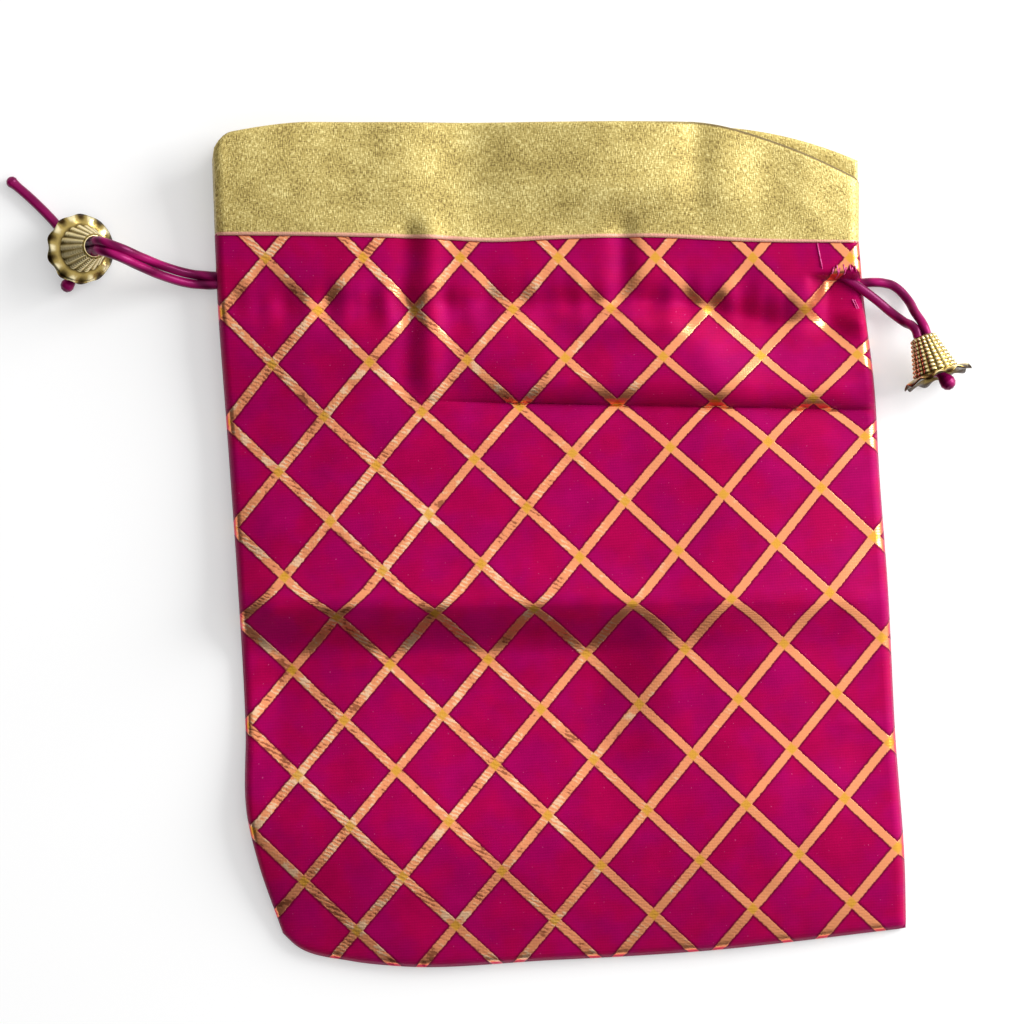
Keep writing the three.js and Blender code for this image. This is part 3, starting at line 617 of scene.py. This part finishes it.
front_mesh, front_across, front_down = cloth_grid(*FRONT_GRID)
rows = np.linspace(0, 1, 800)
row_place = np.cumsum(1 + sum(ridge(rows, *crowd) for crowd in ROW_CROWDS))
row_place = (row_place - row_place[0]) / (row_place[-1] - row_place[0])
front_down = np.interp(front_down, row_place, rows)
front_xy = pouch_place(front_across, front_down)
front_x, front_y = front_xy[:, 0], front_xy[:, 1]
across_mm, down_mm = front_across * WIDTH, front_down * LENGTH
from_edge = np.minimum(np.minimum(across_mm, WIDTH - across_mm), LENGTH - down_mm)
edge_share = turned_edge(from_edge)
fold_share = edge_share * (EDGE_FOLD_SHARE + (1 - EDGE_FOLD_SHARE) * smooth(from_edge, 0, EDGE_FOLD_RUN))
folds = upper_fold(front_x, front_y) + lower_fold(front_x, front_y) + gathers(front_x, front_y)
front_z = puff(across_mm, down_mm) + (folds + wrinkles(front_x, front_y)) * fold_share
hole = smooth(front_x, *HOLE_LEFT) * smooth(front_y, *HOLE_BELOW) * (1 - smooth(front_y, *HOLE_ABOVE))
hole_side = (1 - smooth(front_y, *HOLE_SIDE_BELOW)) * smooth(front_x, *HOLE_SIDE_FROM)
hole_floor = REST_LEVEL + (HOLE_FLOOR + HOLE_SIDE * hole_side - REST_LEVEL) * edge_share
front_z = np.maximum(front_z + (hole_floor - front_z) * hole, BACK_LEVEL + CLOTH)
lay_out(front_mesh, np.column_stack([front_x, front_y, front_z]), print_place(front_x, front_y))
front_mesh.flip_normals()
front_panel = new_piece("front_panel_cloth", front_mesh, foil_cloth, "bag", "front_panel")
thicken(front_panel, CLOTH)

# Fray: loose pink threads of the cut cloth, which lie on it at the lips of the drawstrings' hole, and a
# long one above it.
FRAY = 0.17
FRAY_STEPS = 4
FRAY_PINK = (0.80, 0.12, 0.38, 1)
FRAY_ROSE = (0.52, 0.012, 0.17, 1)
FRAYED_THREADS = [
    ((74.6, 75.6), (74.0, 73.2)), ((75.4, 76.2), (75.9, 73.4)), ((76.3, 75.4), (75.6, 72.9)),
    ((77.2, 76.4), (77.9, 73.2)), ((78.1, 75.6), (77.2, 72.8)), ((78.9, 76.3), (79.6, 73.3)),
    ((79.7, 75.5), (79.2, 72.7)), ((80.4, 76.0), (80.9, 73.4)), ((80.3, 67.2), (81.5, 64.6)),
    ((80.9, 67.1), (82.0, 64.7)), ((70.1, 82.0), (71.8, 73.6)),
]

frayed, frayed_tree, frayed_shader = new_material("frayed_thread")
frayed_place = new_node(frayed_tree, "ShaderNodeTexCoord").outputs["Object"]
frayed_share = ease(frayed_tree, noise_at(frayed_tree, frayed_place, 900.0), 0.4, 0.6)
frayed_mix = mix_colour(frayed_tree, frayed_share, FRAY_ROSE, FRAY_PINK)
frayed_tree.links.new(frayed_mix, frayed_shader.inputs["Base Color"])
frayed_shader.inputs["Roughness"].default_value = 0.6


def round_curve(name, thickness, smoothness):
    """An empty curve whose lines become round threads."""
    curve = bpy.data.curves.new(name, "CURVE")
    curve.dimensions = "3D"
    curve.bevel_depth = thickness / 2 * MM
    curve.bevel_resolution = smoothness
    curve.use_fill_caps = True
    return curve


def add_line(curve, points, radii):
    """A smooth line through points in millimetres, with shares of the thread's radius there."""
    spline = curve.splines.new("BEZIER")
    spline.bezier_points.add(len(points) - 1)
    for bezier, point, radius in zip(spline.bezier_points, points, radii):
        bezier.co = Vector(point) * MM
        bezier.radius = radius
        bezier.handle_left_type = bezier.handle_right_type = "AUTO"


def on_cloth(place):
    """A thread's place on top of the front cloth, over a place on the table."""
    nearest = np.argmin((front_x - place.x) ** 2 + (front_y - place.y) ** 2)
    return (*place, front_z[nearest] + CLOTH + FRAY)


fray_curve = round_curve("fray", 2 * FRAY, 1)
for start, end in FRAYED_THREADS:
    steps = [Vector(start).lerp(Vector(end), step / FRAY_STEPS) for step in range(FRAY_STEPS + 1)]
    add_line(fray_curve, [on_cloth(place) for place in steps], [1] * len(steps))
new_piece("fray_threads", fray_curve, frayed, "bag", "front_panel")

# Band: a strip of gold tissue round the mouth. It is sewn to the pouch, folded over at the mouth's edge
# and runs down inside as the facing of the channel. Its lower seam shows a pale pink line. On the right, a
# dark line of painted shade runs along the front strip's folded edge, where it lies over the back strip.
TISSUE = 0.35
TISSUE_GOLD = (0.57, 0.435, 0.125, 1)
TISSUE_DARK = (0.25, 0.175, 0.04, 1)
TISSUE_BRIGHT = (0.95, 0.81, 0.34, 1)
DARK_TO_GOLD = (0.36, 0.5)
GOLD_TO_BRIGHT = (0.5, 0.66)
THREADS_UP = (2.9, 0.8, 1)
THREADS_UP_SHARE = 0.6
THREADS_ACROSS = (1.1, 3.0, 1)
THREADS_ACROSS_SHARE = 0.4
BLOTCH_SCALE = 0.12
BLOTCH_SHARE = 0.25
SEAM_PINK = (0.90, 0.42, 0.34, 1)
SEAM_EDGE = (0.8, 1.3)
# Painted shade: a dark line along the front strip's folded edge on the right, where it lies over the back
# strip.
PAINTED_EDGE_SHADE = (0.10, 0.06, 0.015, 1)
CREASE_UP = 33.2
CREASE_EDGE = (1.2, 2.0)
CREASE_FROM = (110, 140)
LINE_SHARE = 0.85

tissue, tissue_tree, tissue_shader = new_material("gold_tissue")
tissue_map = new_node(tissue_tree, "ShaderNodeUVMap", {"uv_map": "print"}).outputs[0]
tissue_at = new_node(tissue_tree, "ShaderNodeSeparateXYZ", i0=tissue_map)
across_at = tissue_at.outputs[0]
height_up = tissue_at.outputs[1]


def tissue_threads(stretch, share):
    """The uneven metal threads of the tissue in one direction, with their share in its grain."""
    stretched = new_node(tissue_tree, "ShaderNodeMapping", i0=tissue_map, i3=stretch).outputs[0]
    return calc(tissue_tree, "MULTIPLY", noise_at(tissue_tree, stretched, 1.0), share)


threads_up = tissue_threads(THREADS_UP, THREADS_UP_SHARE)
threads_across = tissue_threads(THREADS_ACROSS, THREADS_ACROSS_SHARE)
threads = calc(tissue_tree, "ADD", threads_up, threads_across)
blotch = calc(tissue_tree, "SUBTRACT", noise_at(tissue_tree, tissue_map, BLOTCH_SCALE), 0.5)
grain = calc(tissue_tree, "ADD", threads, calc(tissue_tree, "MULTIPLY", blotch, BLOTCH_SHARE))
gold_low = mix_colour(tissue_tree, ease(tissue_tree, grain, *DARK_TO_GOLD), TISSUE_DARK, TISSUE_GOLD)
gold_grain = mix_colour(tissue_tree, ease(tissue_tree, grain, *GOLD_TO_BRIGHT), gold_low, TISSUE_BRIGHT)
from_seam = calc(tissue_tree, "ABSOLUTE", height_up)
seam_share = ease(tissue_tree, from_seam, *SEAM_EDGE, LINE_SHARE, 0.0)
seamed = mix_colour(tissue_tree, seam_share, gold_grain, SEAM_PINK)
# The line of painted shade along the folded edge, on the right only.
from_crease = calc(tissue_tree, "ABSOLUTE", calc(tissue_tree, "SUBTRACT", height_up, CREASE_UP))
edge_shade_line = ease(tissue_tree, from_crease, *CREASE_EDGE, LINE_SHARE, 0.0)
edge_shade_on_right = calc(tissue_tree, "MULTIPLY", edge_shade_line, ease(tissue_tree, across_at, *CREASE_FROM))
tissue_colour = mix_colour(tissue_tree, edge_shade_on_right, seamed, PAINTED_EDGE_SHADE)
tissue_tree.links.new(tissue_colour, tissue_shader.inputs["Base Color"])
tissue_bump = new_node(tissue_tree, "ShaderNodeBump", Strength=0.6, Distance=0.3 * MM, Height=grain)
tissue_tree.links.new(tissue_bump.outputs[0], tissue_shader.inputs["Normal"])
tissue_shader.inputs["Metallic"].default_value = 0.3
tissue_shader.inputs["Roughness"].default_value = 0.5

# Each strip starts on the seam, a little over the pouch's edge, and climbs to the mouth. Its shares of
# the climb and of the turn there are shares of the strip's length.
BAND_TOP = 113.9
BAND_HEIGHT = 31
STRIP_LENGTH = 96
BAND_GRID = (150, 84)
CLIMB_SHARE = 0.48
TURN_SHARE = 0.06
TURN_REACH = 0.8
FACING_REACH = 1.6
SEAM_LAP = 0.4
LEFT_LEAN = 0.5
LEFT_SLOPE = (3.9, 26, 1.5)
LEFT_CORNER = (5, 5.5, 2)
RIGHT_RUN = 46


def end_drop(from_end, depth, run, bend):
    """How far the mouth's edge drops over a run at one end of the band."""
    return depth * np.clip(1 - from_end / run, 0, 1) ** bend


def mouth_top(across, right_drop, right_bend):
    """How far up the band's folded edge lies."""
    left = end_drop(across, *LEFT_SLOPE) + end_drop(across, *LEFT_CORNER)
    return BAND_TOP - left - end_drop(WIDTH - across, right_drop, RIGHT_RUN, right_bend)


def band_strip(name, right_drop, right_bend, outer_z, inner_z, side, cad_node):
    """A strip from the seam up to the mouth, over its edge and down inside to the channel's end."""
    mesh, across_share, down_share = cloth_grid(*BAND_GRID)
    across = across_share * WIDTH
    run = 1 - down_share
    facing_from = CLIMB_SHARE + TURN_SHARE
    climb = np.clip(run / CLIMB_SHARE, 0, 1)
    over = np.clip((run - CLIMB_SHARE) / TURN_SHARE, 0, 1)
    fall = np.clip((run - facing_from) / (1 - facing_from), 0, 1)
    up_share = np.where(run < CLIMB_SHARE + TURN_SHARE / 2, climb, 1 - fall * FACING_REACH)
    up_outside = np.clip(up_share, 0, 1)
    seam = smooth_line(SEAM_LINE, across_share)
    foot = seam[:, 1] - SEAM_LAP
    top = mouth_top(across, right_drop, right_bend)
    x = seam[:, 0] - LEFT_LEAN * (1 - across_share) * up_outside
    y = foot + (top - foot) * up_share + TURN_REACH * np.sin(np.pi * over)
    turn = (1 - np.cos(np.pi * over)) / 2
    z = outer_z(across, x, up_outside) * (1 - turn) + inner_z(across, x, up_share) * turn
    past_mouth = BAND_HEIGHT + (run - CLIMB_SHARE) * STRIP_LENGTH
    distance_up = np.where(run < CLIMB_SHARE, climb * BAND_HEIGHT, past_mouth)
    lay_out(mesh, np.column_stack([x, y, z]), np.column_stack([across, side * distance_up]))
    strip = new_piece(name, mesh, tissue, "bag", cad_node)
    thicken(strip, TISSUE)
    return strip


# The front strip lies on the puffed pouch and has slow waves, given by their height, middle and spread
# to the left and right. The cords run between it and its facing, and the same way in the back strip.
BAND_WAVES = [
    (0.8, -43, 10, 10), (-1.4, -25, 10, 10), (3.5, 17, 24, 29),
    (-0.8, 37, 4, 4), (0.6, 46, 6, 6), (0.4, 66, 6, 6),
]
WAVE_RUN = 14
WAVES_FULL_UP = 0.5
SEAM_LIFT = 0.5
BAND_LIFT = 0.4
SEAM_FADES_UP = 0.3
MOUTH_LEVEL = 2.4
MOUTH_RISE = 7.5
MOUTH_RIGHT_RISE = 1.5
MOUTH_RIGHT_RUN = 16
MOUTH_LEFT = (2.5, -92, 32)
FACING_GAP = 1.8
CHANNEL_GAP = 5.0
CHANNEL_UP = 0.12
CHANNEL_RUN = 0.3
FACING_LOWEST = 1.6
FRONT_CUT_LEVEL = 0.75
CUT_FROM = (62, 70)
CUT_BELOW = (0.02, 0.2)
BACK_LAYER = 0.1
BACK_FACING = 1.3
BACK_CHANNEL = 3.2
BACK_CHANNEL_RUN = 0.25
BACK_CHANNEL_FROM = (18, 26)
BACK_CUT_LEVEL = 0.7

top_row = np.flatnonzero(front_down < 0.0001)
top_row = top_row[np.argsort(across_mm[top_row])]


def band_wave(x):
    """The band's slow waves, which start from the gathers in the pouch."""
    wave = np.zeros_like(x)
    for height, middle, left_spread, right_spread in BAND_WAVES:
        wave += ridge(x, height, middle, np.where(x < middle, left_spread, right_spread))
    return wave


def front_outer(across, x, up):
    """Height of the front band's outer layer, which starts on the pouch's seam."""
    inside = np.minimum(across, WIDTH - across)
    lip = turned_edge(inside)
    seam_z = np.interp(across, across_mm[top_row], front_z[top_row]) + SEAM_LIFT
    even_z = puff(across, np.zeros_like(across)) + BAND_LIFT
    mouth_z = MOUTH_LEVEL + (MOUTH_RISE + ridge(x, *MOUTH_LEFT)) * lip
    mouth_z += MOUTH_RIGHT_RISE * swelling(WIDTH - across, MOUTH_RIGHT_RUN)
    at_seam = (seam_z - even_z) * (1 - smooth(up, 0, SEAM_FADES_UP))
    waves = band_wave(x) * smooth(inside, 0, WAVE_RUN) * smooth(up, 0, WAVES_FULL_UP)
    return even_z * (1 - up) + mouth_z * up + at_seam + waves


def facing_cut(x, up):
    """Where the facing is pressed down beside the drawstrings' hole."""
    return smooth(x, *CUT_FROM) * smooth(-up, *CUT_BELOW)


def front_inner(across, x, up):
    """Height of the front facing, which leaves room for the cords under the channel's stitches."""
    gap = FACING_GAP + CHANNEL_GAP * smooth(CHANNEL_UP - up, 0, CHANNEL_RUN)
    channel = np.maximum(front_outer(across, x, np.clip(up, 0, 1)) - gap, FACING_LOWEST)
    return channel + (FRONT_CUT_LEVEL - channel) * facing_cut(x, up)


def back_outer(across, x, up):
    return np.full_like(across, BACK_LAYER)


def back_inner(across, x, up):
    """Height of the back facing, which is raised over the cords."""
    inside = np.minimum(across, WIDTH - across)
    raised = smooth(-up, 0, BACK_CHANNEL_RUN) * smooth(inside, *BACK_CHANNEL_FROM)
    channel = BACK_FACING + BACK_CHANNEL * raised
    return channel + (BACK_CUT_LEVEL - channel) * facing_cut(x, up)


front_band = band_strip("front_band_tissue", 15.5, 1.5, front_outer, front_inner, 1, "front_band")
front_band.data.flip_normals()
back_band = band_strip("back_band_tissue", 9.5, 2.1, back_outer, back_inner, -1, "back_band")

# Drawstrings: two satin cords with a fine slanting rib. The ends of each come out of one side of the
# channel, go through a bell side by side and are knotted in its mouth.
CORD = 2.6
CORD_SMOOTHNESS = 4
CORD_STEPS = 8
STRAND_OFFSET = 1.25
BELL_HEIGHT = 12.8
SATIN = (0.27, 0.002, 0.085, 1)
SATIN_SHADE = (0.09, 0.0, 0.028, 1)

left_turn = next(joint for joint in frame["joints"] if joint["name"] == "left_bell_turn")
right_turn = next(joint for joint in frame["joints"] if joint["name"] == "right_bell_turn")
left_brim = Vector(left_turn["pos_m"]) / MM
right_brim = Vector(right_turn["pos_m"]) / MM
left_up = Vector(left_turn["axis"]).normalized()
right_up = Vector(right_turn["axis"]).normalized()
left_beside = Vector((0, 1, 0))
right_beside = Vector((0.944, 0.329, 0))

satin, satin_tree, satin_shader = new_material("satin_cord")
satin_place = new_node(satin_tree, "ShaderNodeTexCoord").outputs["Object"]
satin_rib = new_node(
    satin_tree, "ShaderNodeTexWave", {"bands_direction": "DIAGONAL"},
    Vector=satin_place, Scale=110.0, Distortion=1.5, Detail=2.0).outputs[1]
satin_mix = mix_colour(satin_tree, satin_rib, SATIN_SHADE, SATIN)
satin_tree.links.new(satin_mix, satin_shader.inputs["Base Color"])
satin_bump = new_node(satin_tree, "ShaderNodeBump", Strength=0.35, Distance=0.2 * MM, Height=satin_rib)
satin_tree.links.new(satin_bump.outputs[0], satin_shader.inputs["Normal"])
satin_shader.inputs["Roughness"].default_value = 0.33
satin_shader.inputs["Specular Tint"].default_value = (1.0, 0.22, 0.6, 1)
satin_shader.inputs["Sheen Weight"].default_value = 0.05
satin_shader.inputs["Sheen Tint"].default_value = (1.0, 0.1, 0.5, 1)


def cord_piece(name, points, radii, cad_node):
    """A round cord along a smooth line through points, with shares of its radius there."""
    curve = round_curve(name, CORD, CORD_SMOOTHNESS)
    curve.resolution_u = CORD_STEPS
    add_line(curve, points, radii)
    return new_piece(name, curve, satin, "bag", cad_node)


def in_bell(brim, up, beside, side):
    """The stretch of a strand from its knot to just past the bell's top."""
    heights = (5.7, 7.5, 9.3, 11, BELL_HEIGHT, BELL_HEIGHT + CORD)
    return [brim + up * height + beside * side * STRAND_OFFSET for height in heights]


def strand(name, route, cad_node):
    return cord_piece(name, route, [1] * len(route), cad_node)


left_front_route = [
    *in_bell(left_brim, left_up, left_beside, 1),
    (-119.6, 80.6, 20), (-113, 77.9, 14.2), (-106.5, 75.6, 6.9), (-100.5, 74.2, 3),
    (-97.5, 73.9, 2.6), (-95, 73.7, 2.55), (-92, 73.6, 3.4), (-89, 73.4, 4.6), (-84, 73, 7),
]
left_back_route = [
    *in_bell(left_brim, left_up, left_beside, -1),
    (-119.8, 78.2, 20.2), (-113.6, 75.5, 15.2), (-107, 73, 7.9), (-101, 71.6, 3.6),
    (-98, 71.4, 2.7), (-95, 71.3, 2.55), (-92, 71.8, 2.55), (-88, 72.5, 2.55), (-82, 73, 2.55),
]
right_front_route = [
    *in_bell(right_brim, right_up, right_beside, -1),
    (94.2, 61.2, 4.4), (91, 63.8, 2.7), (87.2, 66.9, 3.4), (83.5, 69.6, 4.4),
    (80, 71.9, 4.9), (77.5, 73.2, 4.8), (75, 73.8, 4.6), (72, 73.4, 5.2), (68, 71.5, 7),
]
right_back_route = [
    *in_bell(right_brim, right_up, right_beside, 1),
    (97.4, 63.7, 4.6), (95.7, 67.3, 1.9), (92, 71, 1.45), (89.4, 71.8, 1.7), (86.6, 72, 2.3),
    (82, 71.7, 2.4), (77, 71.3, 2.3), (72.5, 70.4, 2.4), (66, 70, 2.55),
]
left_strands = [
    strand("left_cord_front", left_front_route, "left_drawstring"),
    strand("left_cord_back", left_back_route, "left_drawstring"),
]
right_strands = [
    strand("right_cord_front", right_front_route, "right_drawstring"),
    strand("right_cord_back", right_back_route, "right_drawstring"),
]

# Bells: stamped metal cones with rings of beads, a thin flared brim with a scalloped edge, and a hole
# in the top for the two strands. Their gilding is worn brown in the hollows. Painted light is laid on the
# metal too: dark shade under the brim, lighter glints on the brim's crests, and a highlight on the top rim.
BRIM_RADIUS = 9.5
CONE_FOOT = 6.0
CONE_TOP = 3.1
CONE_LEVEL = 2.4
CONE_RUN = BELL_HEIGHT - 2.6
HOLE_RADIUS = 2.5
BEAD_COLUMNS = 18
BEAD_RINGS = 9
BEAD_ROWS = BEAD_RINGS * 6
BEAD_RISE = 0.6
BEAD_ROUND = 0.7
BRIM_FROM = 7
BRIM_FLARE = 2.5
BRIM_WAVES = 10
BRIM_RUFFLE = 0.55
BRIM_SCALLOP = 0.02
BELL_STEPS = BEAD_COLUMNS * 8
HOLLOW_WEAR = 0.2
BEAD_WEAR = 0.9
BRIM_WEAR = 0.55
# Painted glints on the brim's crests, with painted shade in its troughs, and a painted highlight on the top
# rim:
RUFFLE_GLINTS = 0.65
TOP_RIM_HIGHLIGHT = 1.2
BELL_BROWN = (0.045, 0.022, 0.005, 1)
BELL_OLIVE = (0.44, 0.32, 0.10, 1)
BELL_GILT = (0.97, 0.84, 0.50, 1)

bell_metal, bell_tree, bell_shader = new_material("bell_metal")
bell_place = new_node(bell_tree, "ShaderNodeTexCoord").outputs["Object"]
bell_dirt = calc(bell_tree, "MULTIPLY", noise_at(bell_tree, bell_place, 600.0, 3.0), 0.4)
# The bells' attribute holds worn gilding in the hollows and on the beads, and painted light on the brim and
# top rim.
bell_wear_and_light = new_node(bell_tree, "ShaderNodeAttribute", {"attribute_name": "wear_and_painted_light"}).outputs["Fac"]
bell_gilt_share = calc(bell_tree, "ADD", bell_wear_and_light, bell_dirt)
bell_olive = mix_colour(bell_tree, ease(bell_tree, bell_gilt_share, 0.25, 0.75), BELL_BROWN, BELL_OLIVE)
bell_colour = mix_colour(bell_tree, ease(bell_tree, bell_gilt_share, 0.75, 1.15), bell_olive, BELL_GILT)
bell_tree.links.new(bell_colour, bell_shader.inputs["Base Color"])
bell_shader.inputs["Metallic"].default_value = 1.0
bell_shader.inputs["Roughness"].default_value = 0.27


def cone_radius(height):
    return CONE_FOOT + (CONE_TOP - CONE_FOOT) * (height - CONE_LEVEL) / CONE_RUN


def bell_mesh(brim, up):
    """A bell spun from its profile about its own axis, beaded and scalloped, then set in place."""
    cone_heights = [CONE_LEVEL + CONE_RUN * row / BEAD_ROWS for row in range(BEAD_ROWS + 1)]
    profile = [
        (BRIM_RADIUS, 0.35), (8.6, 0.9), (7.2, 1.5), (6.2, 2.2),
        *[(cone_radius(height), height) for height in cone_heights],
        (2.8, BELL_HEIGHT), (HOLE_RADIUS, BELL_HEIGHT - 0.3), (HOLE_RADIUS, BELL_HEIGHT - 1.4),
        (5.3, CONE_LEVEL), (6.4, 1.0), (8.4, 0.2), (BRIM_RADIUS - 0.05, 0.05), (BRIM_RADIUS, 0.35),
    ]
    made = bmesh.new()
    ring = [made.verts.new((radius, 0, height)) for radius, height in profile]
    edges = [made.edges.new(pair) for pair in zip(ring, ring[1:])]
    bmesh.ops.spin(
        made, geom=ring + edges, axis=(0, 0, 1), cent=(0, 0, 0),
        steps=BELL_STEPS, angle=2 * math.pi, use_merge=True)
    bmesh.ops.remove_doubles(made, verts=made.verts, dist=0.002)
    wear_and_painted_light = made.verts.layers.float.new("wear_and_painted_light")
    for vert in made.verts:
        radius = math.hypot(vert.co.x, vert.co.y)
        turn = math.atan2(vert.co.y, vert.co.x)
        on_cone = CONE_LEVEL - 0.1 < vert.co.z < BELL_HEIGHT - 0.15
        if on_cone and radius > cone_radius(vert.co.z) - 0.1:
            across_bead = abs(math.cos(turn * BEAD_COLUMNS / 2))
            up_bead = abs(math.sin(math.pi * BEAD_RINGS * (vert.co.z - CONE_LEVEL) / CONE_RUN))
            bead = (across_bead * up_bead) ** BEAD_ROUND
            vert[wear_and_painted_light] = HOLLOW_WEAR + BEAD_WEAR * bead
            vert.co.xy *= 1 + BEAD_RISE * bead / radius
        elif radius > BRIM_FROM:
            ruffle = math.cos(turn * BRIM_WAVES) * (radius - BRIM_FROM) / BRIM_FLARE
            # The brim's underside gets painted shade, and its crests painted glints.
            vert[wear_and_painted_light] = BRIM_WEAR + RUFFLE_GLINTS * ruffle if vert.co.z > 0.3 else 0.0
            vert.co.z += BRIM_RUFFLE * (ruffle + 1)
            vert.co.xy *= 1 - BRIM_SCALLOP * ruffle
        else:
            # The top rim gets a painted highlight.
            vert[wear_and_painted_light] = TOP_RIM_HIGHLIGHT if vert.co.z > BELL_HEIGHT - 0.5 else HOLLOW_WEAR
    bmesh.ops.recalc_face_normals(made, faces=made.faces)
    stand = Matrix.Translation(brim) @ Vector((0, 0, 1)).rotation_difference(up).to_matrix().to_4x4()
    bmesh.ops.transform(made, matrix=Matrix.Scale(MM, 4) @ stand, verts=made.verts)
    for face in made.faces:
        face.smooth = True
    mesh = bpy.data.meshes.new("bell")
    made.to_mesh(mesh)
    made.free()
    return mesh


left_bell = new_piece(
    "left_bell_metal", bell_mesh(left_brim, left_up), bell_metal, "left_bell", "left_bell")
right_bell = new_piece(
    "right_bell_metal", bell_mesh(right_brim, right_up), bell_metal, "right_bell", "right_bell")

# Knots: each pair of strands is tied in a tight ball in the bell's mouth. The left one leaves a long
# and a short tail, cut and melted to round ends, and the right one a stub.
KNOT = 3.0
FURROW_DEPTH = 0.14
FURROW_TURNS = 1.5
FURROW_TWIST = 2.2
LEFT_KNOT_LEVEL = 2.2
RIGHT_KNOT_LEVEL = 4.0
LONG_TAIL_SWELL = 1.25
SHORT_TAIL_SWELL = 1.5
STUB_SWELL = 1.7
ROUND_END = [(1.5, 0.87), (1, 1), (0.5, 0.87), (0.13, 0.5)]


def knot_mesh(centre):
    """A ball with the furrows of a tied cord."""
    made = bmesh.new()
    bmesh.ops.create_uvsphere(made, u_segments=28, v_segments=18, radius=KNOT)
    for vert in made.verts:
        turn = math.atan2(vert.co.y, vert.co.x)
        furrow = abs(math.sin(FURROW_TURNS * turn + FURROW_TWIST * vert.co.z / KNOT))
        vert.co *= 1 - FURROW_DEPTH + FURROW_DEPTH * furrow ** 0.5
        vert.co += centre
    bmesh.ops.scale(made, vec=(MM, MM, MM), verts=made.verts)
    for face in made.faces:
        face.smooth = True
    mesh = bpy.data.meshes.new("knot")
    made.to_mesh(mesh)
    made.free()
    return mesh


def tail(name, points, swell, cad_node):
    """A strand's cut end, which is melted to a round bulb, swell times as thick as the cord."""
    tip = Vector(points[-1])
    back = (Vector(points[-2]) - tip).normalized() * (CORD / 2 * swell)
    bulb = [(2.1, 1), *[(share, radius * swell) for share, radius in ROUND_END], (0, 0.02)]
    line = [*points[:-1], *[tip + back * share for share, _ in bulb]]
    radii = [1] * (len(points) - 1) + [radius for _, radius in bulb]
    return cord_piece(name, line, radii, cad_node)


left_centre = left_brim + left_up * LEFT_KNOT_LEVEL
left_knot = new_piece(
    "left_knot_ball", knot_mesh(left_centre), satin, "bag", "left_knot")
long_tail_line = [
    left_centre, (-135, 84.5, 2), (-139.5, 89.6, 1.4), (-145.5, 95.5, 1.4), (-151.4, 100.6, 1.6),
]
long_tail = tail("left_long_tail", long_tail_line, LONG_TAIL_SWELL, "left_knot")
short_tail_line = [left_centre, (-132.3, 76, 2.6), (-134, 72.5, 2), (-136, 69.6, 2.1)]
short_tail = tail("left_short_tail", short_tail_line, SHORT_TAIL_SWELL, "left_knot")
right_centre = right_brim + right_up * RIGHT_KNOT_LEVEL
right_knot = new_piece(
    "right_knot_ball", knot_mesh(right_centre), satin, "bag", "right_knot")
stub_line = [right_centre, (107.2, 42.7, 9.9)]
right_stub = tail("right_stub", stub_line, STUB_SWELL, "right_knot")
